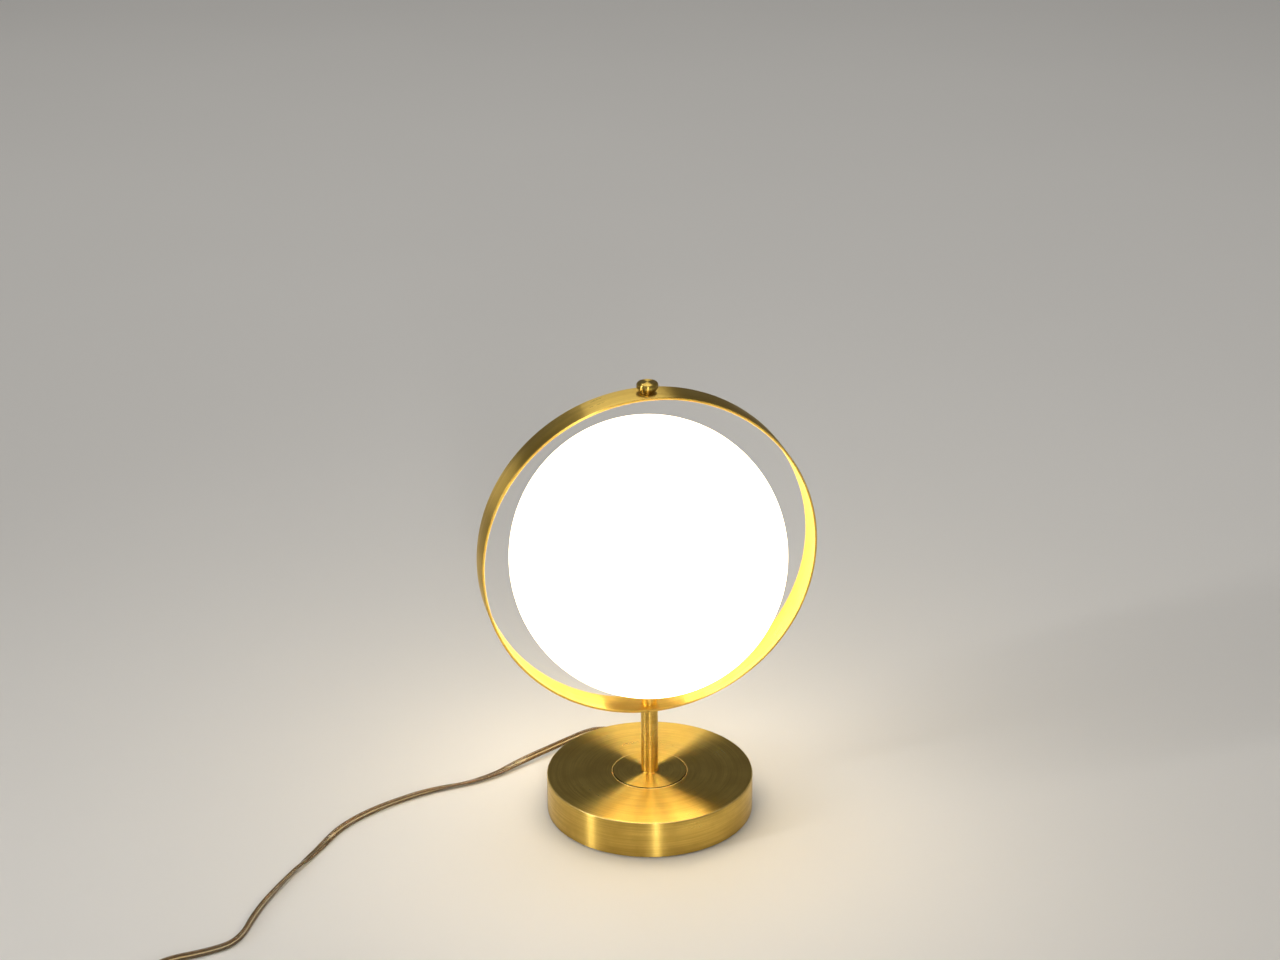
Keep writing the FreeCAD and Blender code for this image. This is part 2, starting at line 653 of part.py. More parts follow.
def ring_collar():
    bottom = f"({RING_FLOOR} + {sagitta('sizes.collar_radius')})"
    tube("ring_collar", "sizes.collar_radius", ROD_HOLE, bottom, FITTER_BOTTOM)


def ring_knob():
    """A turned knob: narrow foot, cone to its widest line, rounded top, blind bore for its screw."""
    body = new_body("ring_knob")
    bore = "(sizes.knob_screw_radius + sizes.thread_clearance)"
    bore_top = f"({RING_TOP} + sizes.knob_screw_depth)"
    feature = revolved(body, [
        (bore, RING_TOP),
        ("sizes.knob_foot", RING_TOP),
        ("sizes.knob_radius", f"({RING_TOP} + sizes.knob_waist)"),
        ("sizes.knob_radius", f"({RING_TOP} + sizes.knob_height)"),
        ("0", f"({RING_TOP} + sizes.knob_height)"),
        ("0", bore_top),
        (bore, bore_top),
    ])
    rim = round_edge_at(size("knob_radius"), value_of(f"({RING_TOP} + sizes.knob_height)"))
    dressed(body, "Fillet", feature, rim, "sizes.knob_round", "top_rounding")


def knob_screw():
    """Flat-headed screw from the hoop's inside up into the knob."""
    head_top = f"({RING_TOP} - sizes.ring_thickness - {sagitta('sizes.knob_head_radius')})"
    head = cylinder("sizes.knob_head_radius", "sizes.knob_head_height",
                    f"{head_top} - sizes.knob_head_height")
    shank_top = f"({RING_TOP} + sizes.knob_screw_depth - sizes.hole_clearance)"
    shank = cylinder("sizes.knob_screw_radius", f"{shank_top} - {head_top}", head_top)
    named(joined(head, shank), "knob_screw")


# Fitter and globe


def fitter_cup():
    """Shallow cup that closes the globe's mouth and carries it on its rim."""
    body = new_body("fitter_cup")
    inside = "(sizes.fitter_radius - sizes.fitter_wall)"
    revolved(body, [
        (ROD_HOLE, FITTER_BOTTOM),
        ("sizes.fitter_radius", FITTER_BOTTOM),
        ("sizes.fitter_radius", FITTER_TOP),
        (inside, FITTER_TOP),
        (inside, FITTER_FLOOR),
        (ROD_HOLE, FITTER_FLOOR),
    ])


def fitter_fastening():
    washer("fitter_washer", "sizes.fitter_washer_radius", BRACKET_TOP)
    rod_nut("fitter_nut", "sizes.fitter_nut_height", FITTER_NUT_BOTTOM)
    tube("globe_gasket", "sizes.fitter_radius", "(sizes.fitter_radius - sizes.gasket_width)",
         FITTER_TOP, GASKET_TOP)


def half_ellipse_height(radius, across, high):
    """Height of an ellipse below its centre at a given radius."""
    return high * math.sqrt(1 - (radius / across) ** 2)


def globe_glass():
    """Blown globe, a little taller than wide, with a neck turned inwards round its mouth."""
    centre = value_of(GLOBE_CENTRE)
    outer_across, outer_high = size("globe_radius"), size("globe_half_height")
    glass = size("glass_thickness")
    inner_across, inner_high = outer_across - glass, outer_high - glass
    mouth, neck = value_of(NECK_INSIDE), value_of(NECK_OUTSIDE)
    ledge_edge = value_of(f"({NECK_INSIDE} - sizes.ledge_width)")
    ledge_bottom, ledge_top = value_of(LEDGE_BOTTOM), value_of(LEDGE_TOP)
    rim = value_of(GLOBE_RIM)
    root = centre - half_ellipse_height(neck, inner_across, inner_high)

    def point(radius, height):
        return Vector(radius, 0, height)

    def ellipse_edge(across, high, low_radius, low_height):
        """The ellipse from its top on the axis down to a given point, in the XZ plane."""
        top, middle = point(0, centre + high), point(0, centre)
        if high >= across:
            whole = Part.Ellipse(top, point(across, centre), middle)
        else:
            whole = Part.Ellipse(point(-across, centre), top, middle)
        first, last = whole.parameter(top), whole.parameter(point(low_radius, low_height))
        return Part.ArcOfEllipse(whole, first, last).toBSpline().toShape()

    corners = [
        (mouth, rim),
        (mouth, ledge_bottom),
        (ledge_edge, ledge_bottom),
        (ledge_edge, ledge_top),
        (neck, ledge_top),
        (neck, root),
    ]
    lines = [Part.LineSegment(point(*a), point(*b)).toShape() for a, b in zip(corners, corners[1:])]
    axis = Part.LineSegment(point(0, centre + inner_high), point(0, centre + outer_high)).toShape()
    edges = [
        ellipse_edge(outer_across, outer_high, mouth, rim),
        *lines,
        ellipse_edge(inner_across, inner_high, neck, root),
        axis,
    ]
    wire = Part.Wire(Part.sortEdges(edges)[0])
    solid = Part.Face(wire).revolve(Vector(0, 0, 0), Vector(0, 0, 1), 360)
    feature = doc.addObject("Part::Feature", "globe_glass")
    feature.Shape = solid if solid.Volume > 0 else solid.reversed()
    named(feature, "globe_glass")


# Lamp holder and bulb


def holder_bracket():
    """Strip under the fitter's nut, bent up on both sides of the holder."""
    arm_top = f"({HOLDER_BOTTOM} + sizes.bracket_grip)"
    strip = block(f"2 * {BRACKET_OUTSIDE}", "sizes.bracket_width", "sizes.bracket_thickness", z=FITTER_FLOOR)
    arms = []
    holes = [cylinder(ROD_HOLE, "sizes.bracket_thickness", FITTER_FLOOR)]
    for side in (-1, 1):
        middle = f"{side} * ({BRACKET_INSIDE} + sizes.bracket_thickness / 2)"
        arms.append(block("sizes.bracket_thickness", "sizes.bracket_width", f"{arm_top} - {FITTER_FLOOR}",
                          x=middle, z=FITTER_FLOOR))
        holes.append(lying_cylinder(SCREW_HOLE, "4 * sizes.bracket_thickness",
                                    x=f"{middle} - 2 * sizes.bracket_thickness", z=SCREW_LEVEL))
    named(without(joined(strip, *arms), *holes), "holder_bracket")


def bracket_screws():
    screws = []
    for side in (-1, 1):
        start = BRACKET_OUTSIDE if side > 0 else f"-{BRACKET_OUTSIDE} - sizes.screw_head_height"
        head = lying_cylinder("sizes.screw_head_radius", "sizes.screw_head_height", x=start, z=SCREW_LEVEL)
        shank_start = f"-{BRACKET_OUTSIDE}"
        if side > 0:
            shank_start = f"{BRACKET_OUTSIDE} - sizes.bracket_screw_length"
        shank = lying_cylinder("sizes.screw_radius", "sizes.bracket_screw_length", x=shank_start,
                               z=SCREW_LEVEL)
        screws.append(joined(head, shank))
    named(group(*screws), "bracket_screws")


def lamp_holder():
    """Ceramic holder with a slot for each pin and its contact leaf."""
    body = cylinder("sizes.holder_radius", "sizes.holder_height", HOLDER_BOTTOM)
    slot_inner = "(sizes.pin_pitch / 2 - sizes.pin_thickness / 2 - sizes.pin_clearance)"
    slot_outer = f"({LEAF_FACE} + sizes.leaf_thickness)"
    screw_hole = "(sizes.bracket_screw_length + sizes.hole_clearance)"
    screw_middle = f"({BRACKET_OUTSIDE} - {screw_hole} / 2)"
    slots = []
    for side in (-1, 1):
        slots.append(block(f"{slot_outer} - {slot_inner}", "sizes.leaf_width + 2 * sizes.pin_clearance",
                           "sizes.holder_height", x=f"{side} * ({slot_inner} + {slot_outer}) / 2",
                           z=HOLDER_BOTTOM))
        slots.append(lying_cylinder("sizes.screw_radius + sizes.thread_clearance", screw_hole,
                                    x=f"{side} * {screw_middle} - {screw_hole} / 2", z=SCREW_LEVEL))
    named(without(body, *slots), "lamp_holder")


def holder_contacts():
    leaves = []
    for side in (-1, 1):
        leaves.append(block("sizes.leaf_thickness", "sizes.leaf_width",
                            "sizes.holder_height + sizes.leaf_tail - 2 * sizes.leaf_thickness",
                            x=f"{side} * ({LEAF_FACE} + sizes.leaf_thickness / 2)",
                            z=f"{HOLDER_BOTTOM} - sizes.leaf_tail"))
    named(group(*leaves), "holder_contacts")


def bulb_base():
    """The bulb's base with its two flat pins."""
    base = cylinder("sizes.bulb_base_radius", "sizes.bulb_base_height", BULB_BOTTOM)
    pins = [
        block("sizes.pin_thickness", "sizes.pin_width", "sizes.pin_length + sizes.pin_root",
              x=f"{side} * sizes.pin_pitch / 2", z=f"{BULB_BOTTOM} - sizes.pin_length")
        for side in (-1, 1)
    ]
    named(joined(base, *pins), "bulb_base")


def bulb_capsule():
    """Clear capsule with a round end."""
    straight = "(sizes.capsule_height - sizes.capsule_radius)"
    side = cylinder("sizes.capsule_radius", straight, CAPSULE_BOTTOM)
    dome = doc.addObject("Part::Sphere", "dome")
    bound(dome, Radius="sizes.capsule_radius", Placement__Base__z=f"{CAPSULE_BOTTOM} + {straight}")
    named(joined(side, dome), "bulb_capsule")


# Lead in the base


def cord_bushing():
    """Snap-in bushing with a tapered, grooved tail, turned about the lead's axis."""
    body = new_body("cord_bushing")
    wall = "sizes.base_radius + sizes.thread_clearance"
    rib = f"((sizes.bushing_outside - sizes.bushing_flange_thickness) / {BUSHING_RIBS})"
    tail_start = f"({wall} + sizes.bushing_flange_thickness)"
    lip_face = f"({SHELL_INSIDE} - sizes.hole_clearance)"

    def taper(steps):
        """Radius of the tail after a number of ribs."""
        share = f"{steps} / {BUSHING_RIBS}"
        return f"(sizes.bushing_barrel - (sizes.bushing_barrel - sizes.bushing_tip) * {share})"

    corners = [
        ("sizes.bushing_bore", "sizes.base_radius - sizes.bushing_inside"),
        ("sizes.bushing_barrel", "sizes.base_radius - sizes.bushing_inside"),
        ("sizes.bushing_lip", f"{lip_face} - 1.5 * sizes.shell_wall"),
        ("sizes.bushing_lip", lip_face),
        ("sizes.bushing_barrel", lip_face),
        ("sizes.bushing_barrel", wall),
        ("sizes.bushing_flange", wall),
        ("sizes.bushing_flange", tail_start),
    ]
    for number in range(BUSHING_RIBS):
        radius = taper(number) if number % 2 == 0 else f"({taper(number)} - sizes.bushing_groove)"
        corners.append((radius, f"{tail_start} + {rib} * {number}"))
        corners.append((radius, f"{tail_start} + {rib} * {number + 1}"))
    corners.append(("sizes.bushing_bore", f"{tail_start} + {rib} * {BUSHING_RIBS}"))
    revolved(body, corners)
    body.Placement = Placement(Vector(0, 0, 0), Rotation(Vector(1, 0, 0), -90))
    body.setExpression("Placement.Base.z", "sizes.exit_height")


def cord_clamp():
    """Block under the weight that grips the lead."""
    floor = f"(sizes.exit_height - {CORD_RADIUS} - sizes.clamp_floor)"
    body = block("sizes.clamp_width", "sizes.clamp_length", f"{WEIGHT_BOTTOM} - {floor}",
                 y="sizes.clamp_place", z=floor)
    lead = lying_cylinder(f"{CORD_RADIUS} + sizes.clamp_clearance", "2 * sizes.clamp_length",
                          y="sizes.clamp_place - sizes.clamp_length", z="sizes.exit_height", along="y")
    holes = [
        cylinder(SCREW_HOLE, "sizes.base_height", floor, x=f"{side} * sizes.clamp_screw_pitch / 2",
                 y="sizes.clamp_place")
        for side in (-1, 1)
    ]
    named(without(body, lead, *holes), "cord_clamp")
    screws = []
    for side in (-1, 1):
        place = {"x": f"{side} * sizes.clamp_screw_pitch / 2", "y": "sizes.clamp_place"}
        head = cylinder("sizes.screw_head_radius", "sizes.screw_head_height",
                        f"{floor} - sizes.screw_head_height", **place)
        shank = cylinder("sizes.screw_radius", "sizes.clamp_screw_length", floor, **place)
        screws.append(joined(head, shank))
    named(group(*screws), "clamp_screws")


def direction(start, end):
    return (end - start).normalize()


def turn_between(before, after):
    """Angle in radians between two unit vectors."""
    return math.acos(max(-1.0, min(1.0, before.dot(after))))


def path_of(points, radii=None):
    """Straight runs joined by tangent arcs: the wire, its length and its arc radii."""
    corners = [Vector(*point) for point in points]
    edges, used, start = [], [], corners[0]
    for number in range(1, len(corners) - 1):
        before = direction(corners[number - 1], corners[number])
        after = direction(corners[number], corners[number + 1])
        turn = turn_between(before, after)
        shorter = min((corners[number] - corners[number - 1]).Length,
                      (corners[number + 1] - corners[number]).Length)
        radius = radii[number - 1] if radii else 0.45 * shorter / math.tan(turn / 2)
        reach = radius * math.tan(turn / 2)
        first = corners[number] - before * reach
        last = corners[number] + after * reach
        inward = (after - before).normalize()
        middle = corners[number] + inward * (radius / math.cos(turn / 2) - radius)
        edges.append(Part.LineSegment(start, first).toShape())
        edges.append(Part.Arc(first, middle, last).toShape())
        used.append(radius)
        start = last
    edges.append(Part.LineSegment(start, corners[-1]).toShape())
    wire = Part.Wire(edges)
    return wire, used


def swept(wire, radius):
    """A round tube along a wire."""
    first = wire.Edges[0]
    start, tangent = first.valueAt(first.FirstParameter), first.tangentAt(first.FirstParameter)
    section = Part.Wire(Part.Circle(start, tangent, radius).toShape())
    shell = Part.BRepOffsetAPI.MakePipeShell(wire)
    shell.add(section)
    if not shell.isReady():
        raise RuntimeError("a tube's path isn't ready")
    shell.build()
    shell.makeSolid()
    solid = Part.Solid(shell.shape())
    return solid if solid.Volume > 0 else solid.reversed()


def tube_feature(label, wire, radius):
    """A sub-part that is a tube, with its volume set against its length."""
    solid = swept(wire, radius)
    expected = math.pi * radius ** 2 * wire.Length
    ratio = solid.Volume / expected
    print(f"{label}: length {wire.Length:.1f}, volume over section times length {ratio:.4f}")
    feature = doc.addObject("Part::Feature", label)
    feature.Shape = solid
    return named(feature, label)


def inner_cord_end():
    """How far behind the lamp's axis the lead ends inside the base."""
    return size("clamp_place") - size("clamp_length")


def inner_cord():
    """The lead from the clamp to the bushing."""
    line = Part.LineSegment(Vector(0, inner_cord_end(), size("exit_height")), Vector(*ROUTE[0])).toShape()
    tube_feature("cord_inner", Part.Wire([line]), value_of(CORD_RADIUS))


def wires():
    """The two insulated wires, from the lead's inner end up the rod to the contact leaves."""
    start = inner_cord_end()
    bend, fan = size("lead_bend"), size("lead_fan")
    low = value_of(f"({COVER_TOP} + {ROD_BOTTOM}) / 2")
    leaf_x = value_of(f"({LEAF_FACE} + sizes.leaf_thickness / 2)")
    leaf_z = value_of(f"({HOLDER_BOTTOM} - sizes.leaf_tail)")
    rod_top = value_of(ROD_TOP)
    for label, side in (("wire_live", -1), ("wire_neutral", 1)):
        x = side * size("lead_spacing") / 2
        points = [
            (x, start, size("exit_height")),
            (x, start - bend, size("exit_height")),
            (x, start - bend - size("lead_drop"), low),
            (x, 0, low),
            (x, 0, rod_top + fan / 2),
            (side * leaf_x, 0, leaf_z - fan),
            (side * leaf_x, 0, leaf_z),
        ]
        wire, _ = path_of(points, [bend, bend, size("lead_corner"), fan, fan])
        tube_feature(label, wire, size("lead_radius"))


# Free lead: run, switch, link, coil, tail


def placed(obj, x, y, heading):
    """Lay a piece down at a place on the table, turned to a heading in degrees."""
    obj.Placement = Placement(Vector(x, y, 0), Rotation(Vector(0, 0, 1), heading))
    return obj


def ahead(place, heading, along, across=0.0, height=0.0):
    """A point given along and across a heading from a place on the table."""
    turn = math.radians(heading)
    x = place[0] + along * math.cos(turn) - across * math.sin(turn)
    y = place[1] + along * math.sin(turn) + across * math.cos(turn)
    return Vector(x, y, height)


def cord_run():
    reach = size("switch_length") / 2 - size("cord_entry")
    end = ahead(SWITCH_PLACE, SWITCH_HEADING, -reach, 0, size("switch_half"))
    wire, radii = path_of([*ROUTE, tuple(end)])
    print("cord_run radii:", " ".join(f"{radius:.0f}" for radius in radii))
    tube_feature("cord_run", wire, value_of(CORD_RADIUS))
    return wire.Length


def coil_point(angle, total):
    """The coil's middle line at an angle that it has turned through, and its direction there.

    The turns go clockwise seen from above. They spiral inwards in the lower layer, climb a layer in
    the half turn where the spiral reverses, and spiral outwards in the upper layer.
    """
    pitch, layer = size("coil_pitch") / (2 * math.pi), size("layer_pitch")
    low = size("tie_thickness") + size("tie_gap") + value_of(CORD_RADIUS)
    half = total / 2
    from_middle = angle - half
    blend = math.pi / 2
    inner = size("coil_radius") - pitch * half
    if abs(from_middle) >= blend:
        radius = inner + pitch * abs(from_middle)
        slope = pitch * math.copysign(1, from_middle)
        height = low if from_middle < 0 else low + layer
        climb = 0.0
    else:
        share = from_middle / blend
        radius = inner + pitch * blend * (share ** 2 + 1) / 2
        slope = pitch * share
        height = low + layer * (0.5 + 0.75 * share - 0.25 * share ** 3)
        climb = layer * 0.75 * (1 - share ** 2) / blend
    turned = math.radians(COIL_START_ANGLE) - angle
    outward = Vector(math.cos(turned), math.sin(turned), 0)
    forward = Vector(math.sin(turned), -math.cos(turned), 0)
    place = Vector(*COIL_CENTRE, 0) + outward * radius + Vector(0, 0, height)
    heading = forward * radius + outward * slope + Vector(0, 0, climb)
    return place, heading.normalize()


def biarc(start, start_heading, end, end_heading):
    """Two arcs from one point and direction to another, tangent where they meet."""
    chord = end - start
    both = start_heading + end_heading
    facing = 1 - start_heading.dot(end_heading)
    along = chord.dot(both)
    reach = (-along + math.sqrt(along ** 2 + 2 * facing * chord.dot(chord))) / (2 * facing)
    corner_a, corner_b = start + start_heading * reach, end - end_heading * reach
    meeting = (corner_a + corner_b) * 0.5
    edges = []
    for first, corner, last in ((start, corner_a, meeting), (meeting, corner_b, end)):
        middle_chord = (first + last) * 0.5
        to_corner = corner - middle_chord
        half_chord = (last - first).Length / 2
        half_turn = math.atan2(to_corner.Length, half_chord)
        rise = half_chord * math.tan(half_turn / 2)
        edges.append(Part.Arc(first, middle_chord + to_corner.normalize() * rise, last).toShape())
    return edges


def coil_total():
    """The angle that the coil turns through, in radians."""
    extra = math.radians(COIL_START_ANGLE - COIL_END_ANGLE)
    return 2 * math.pi * COIL_WHOLE_TURNS + extra


def coil_ends():
    """Where the coil's straight ends start and stop, with their directions."""
    straight = size("cord_width")
    first, first_heading = coil_point(0.0, coil_total())
    last, last_heading = coil_point(coil_total(), coil_total())
    return first - first_heading * straight, first_heading, last + last_heading * straight, last_heading


def least_gap_to_itself(wire, width):
    """The least free space between turns, from points along the middle line."""
    step = 1.5
    points = wire.discretize(Number=int(wire.Length / step) + 1)
    skip = int(2.5 * width / step)
    least = 1e9
    for number, point in enumerate(points):
        for other in points[number + skip:]:
            least = min(least, point.distanceToPoint(other))
    return least - width


def cord_coil():
    """The put-away length of the lead, wound in two layers as one unbroken tube."""
    total = coil_total()
    quarters = round(total / (math.pi / 2))
    start, _, end, _ = coil_ends()
    stations = [coil_point(total * number / quarters, total) for number in range(quarters + 1)]
    edges = [Part.LineSegment(start, stations[0][0]).toShape()]
    for (place, heading), (next_place, next_heading) in zip(stations, stations[1:]):
        edges.extend(biarc(place, heading, next_place, next_heading))
    edges.append(Part.LineSegment(stations[-1][0], end).toShape())
    wire = Part.Wire(edges)
    tube_feature("cord_coil", wire, value_of(CORD_RADIUS))
    print(f"cord_coil: least gap to itself {least_gap_to_itself(wire, size('cord_width')):.2f}")
    return wire.Length


def cord_link():
    """The lead from the switch to the coil."""
    reach = size("switch_length") / 2 - size("cord_entry")
    start = ahead(SWITCH_PLACE, SWITCH_HEADING, reach, 0, size("switch_half"))
    end = coil_ends()[0]
    wire, radii = path_of([tuple(start), *LINK, tuple(end)])
    print("cord_link radii:", " ".join(f"{radius:.0f}" for radius in radii))
    tube_feature("cord_link", wire, value_of(CORD_RADIUS))
    return wire.Length


def cord_tail():
    """The lead from the coil to the plug."""
    start = coil_ends()[2]
    reach = size("plug_bore_depth") - size("plug_bore_spare")
    end = ahead(PLUG_PLACE, PLUG_HEADING, reach, 0, size("plug_height") / 2)
    wire, radii = path_of([tuple(start), *TAIL, tuple(end)])
    print("cord_tail radii:", " ".join(f"{radius:.0f}" for radius in radii))
    tube_feature("cord_tail", wire, value_of(CORD_RADIUS))
    return wire.Length


def coil_tie():
    """A flat strap round the coil's turns."""
    inner = value_of(f"sizes.coil_radius - {CORD_RADIUS}") - size("coil_pitch") * coil_total() / (4 * math.pi)
    body = new_body("coil_tie")
    low = "0"
    high = ("(2 * sizes.tie_thickness + 2 * sizes.tie_gap + sizes.cord_width + sizes.layer_pitch)")
    near = f"({inner} - sizes.tie_inner_gap - sizes.tie_thickness)"
    far = f"(sizes.coil_radius + {CORD_RADIUS} + sizes.tie_gap + sizes.tie_thickness)"
    wall = "sizes.tie_thickness"
    sketch = new_sketch(body, "loop", "XZ_Plane")
    outline(sketch, [(near, low), (far, low), (far, high), (near, high)])
    outline(sketch, [
        (f"({near} + {wall})", wall),
        (f"({far} - {wall})", wall),
        (f"({far} - {wall})", f"({high} - {wall})"),
        (f"({near} + {wall})", f"({high} - {wall})"),
    ])
    padded(body, sketch, "sizes.tie_width", "strap", symmetric=True)
    placed(body, *COIL_CENTRE, TIE_ANGLE)


# In-line switch


def stadium_block(length, width, height, corner, middle_y, bottom, name):
    """A block with rounded upright corners, as a filleted box."""
    box = block(length, width, height, y=middle_y, z=bottom)
    doc.recompute()
    rounded = doc.addObject("Part::Fillet", name)
    rounded.Base = box
    amount = value_of(corner)
    rounded.Edges = [
        (number, amount, amount)
        for number, edge in enumerate(box.Shape.Edges, start=1)
        if abs(edge.tangentAt(edge.FirstParameter).z) > 0.99
    ]
    doc.recompute()
    return rounded


def soft_edges(obj, height, amount, name):
    """Round the edges of an object that lie flat at one height."""
    rounded = doc.addObject("Part::Fillet", name)
    rounded.Base = obj
    rounded.Edges = [
        (number, amount, amount)
        for number, edge in enumerate(obj.Shape.Edges, start=1)
        if abs(edge.BoundBox.ZMin - height) < 1e-6 and abs(edge.BoundBox.ZMax - height) < 1e-6
    ]
    doc.recompute()
    return rounded


def switch_half(label, upper):
    """One half of the switch: a shell with pillars, a wheel slot and openings for the lead."""
    bottom = "sizes.switch_half" if upper else "0"
    outer = stadium_block("sizes.switch_length", "sizes.switch_width", "sizes.switch_half",
                          "sizes.switch_corner", "sizes.switch_offset", bottom, f"{label}_block")
    edge_height = 2 * size("switch_half") if upper else 0.0
    outer = soft_edges(outer, edge_height, size("switch_round"), f"{label}_rounding")
    hollow_bottom = "sizes.switch_half" if upper else "sizes.switch_wall"
    hollow = stadium_block("sizes.switch_length - 2 * sizes.switch_wall",
                           "sizes.switch_width - 2 * sizes.switch_wall",
                           "sizes.switch_half - sizes.switch_wall",
                           "sizes.switch_corner - sizes.switch_wall", "sizes.switch_offset",
                           hollow_bottom, f"{label}_hollow")
    shell = without(outer, hollow)
    wheel_bottom = "(sizes.switch_half - sizes.wheel_thickness / 2 - sizes.wheel_clearance)"
    hub_gap = "(sizes.wheel_thickness / 2 + sizes.wheel_clearance)"
    pillar_height = "(sizes.switch_half - sizes.switch_wall)"
    hub_height = f"({pillar_height} - {hub_gap})"
    pillar_bottom = "sizes.switch_half" if upper else "sizes.switch_wall"
    hub_bottom = f"(sizes.switch_half + {hub_gap})" if upper else "sizes.switch_wall"
    solids = [shell, cylinder("sizes.pillar_radius", hub_height, hub_bottom, y="sizes.wheel_offset")]
    for side in (-1, 1):
        solids.append(cylinder("sizes.pillar_radius", pillar_height, pillar_bottom,
                               x=f"{side} * sizes.pillar_pitch / 2", y=PILLAR_LINE))
    lead = lying_cylinder(f"{CORD_RADIUS} + sizes.clamp_clearance", "2 * sizes.switch_length",
                          x="-sizes.switch_length", z="sizes.switch_half")
    slot = cylinder("sizes.wheel_radius + sizes.wheel_clearance",
                    "sizes.wheel_thickness + 2 * sizes.wheel_clearance", wheel_bottom,
                    y="sizes.wheel_offset")
    spindle = cylinder("sizes.spindle_radius + sizes.spindle_clearance",
                       "2 * sizes.switch_half - 2 * sizes.switch_wall", "sizes.switch_wall",
                       y="sizes.wheel_offset")
    cuts = [lead, slot, spindle]
    for side in (-1, 1):
        x = f"{side} * sizes.pillar_pitch / 2"
        if upper:
            cuts.append(cylinder("sizes.screw_radius + sizes.thread_clearance",
                                 "sizes.switch_screw_length", "sizes.switch_half", x=x, y=PILLAR_LINE))
        else:
            cuts.append(cylinder(SCREW_HOLE, "sizes.switch_half", "0", x=x, y=PILLAR_LINE))
            cuts.append(cylinder("sizes.screw_head_radius + sizes.hole_clearance",
                                 "sizes.counterbore_depth", "0", x=x, y=PILLAR_LINE))
    half = without(joined(*solids), *cuts)
    placed(named(half, label), *SWITCH_PLACE, SWITCH_HEADING)


def switch_wheel():
    """Notched wheel on its spindle, at the switch's side."""
    body = new_body("switch_wheel")
    bottom = "(sizes.switch_half - sizes.wheel_thickness / 2)"
    disc = new_sketch(body, "disc", "XY_Plane", bottom)
    circle(disc, "sizes.wheel_radius")
    padded(body, disc, "sizes.wheel_thickness", "disc_pad")
    notch = new_sketch(body, "notch", "XY_Plane")
    circle(notch, "sizes.notch_radius", "sizes.wheel_radius")
    repeated(body, pocketed(body, notch, "notch_pocket"), WHEEL_NOTCHES, "notch_pattern")
    axle = new_sketch(body, "axle", "XY_Plane", "sizes.switch_wall + sizes.thread_clearance")
    circle(axle, "sizes.spindle_radius")
    padded(body, axle, "2 * (sizes.switch_half - sizes.switch_wall - sizes.thread_clearance)", "axle_pad")
    place = ahead(SWITCH_PLACE, SWITCH_HEADING, 0, size("wheel_offset"))
    placed(body, place.x, place.y, SWITCH_HEADING)


def switch_insides():
    """The switch's screws, its contacts and the wire that runs through it."""
    contact_end = "(sizes.switch_length / 2 - sizes.cord_entry)"
    screws, contacts = [], []
    for side in (-1, 1):
        place = {"x": f"{side} * sizes.pillar_pitch / 2", "y": PILLAR_LINE}
        head = cylinder("sizes.screw_head_radius", "sizes.screw_head_height",
                        "sizes.counterbore_depth - sizes.screw_head_height", **place)
        shank = cylinder("sizes.screw_radius", "sizes.switch_screw_length", "sizes.counterbore_depth",
                         **place)
        screws.append(joined(head, shank))
        contacts.append(block("sizes.contact_length", "sizes.contact_thickness", "sizes.contact_height",
                              x=f"{side} * ({contact_end} - sizes.contact_length / 2)",
                              y="sizes.contact_place + sizes.contact_thickness / 2", z="sizes.switch_wall"))
    placed(named(group(*screws), "switch_screws"), *SWITCH_PLACE, SWITCH_HEADING)
    placed(named(group(*contacts), "switch_contacts"), *SWITCH_PLACE, SWITCH_HEADING)
    reach = size("switch_length") / 2 - size("cord_entry")
    ends = [ahead(SWITCH_PLACE, SWITCH_HEADING, side * reach, -size("lead_spacing") / 2,
                  size("switch_half")) for side in (-1, 1)]
    wire = Part.Wire([Part.LineSegment(*ends).toShape()])
    tube_feature("switch_wire", wire, size("lead_radius"))


# Plug


def blade_block(side, start, length):
    return block(length, "sizes.blade_thickness", "sizes.blade_width", x=f"{start} + ({length}) / 2",
                 y=f"{side} * sizes.blade_pitch / 2", z="(sizes.plug_height - sizes.blade_width) / 2")


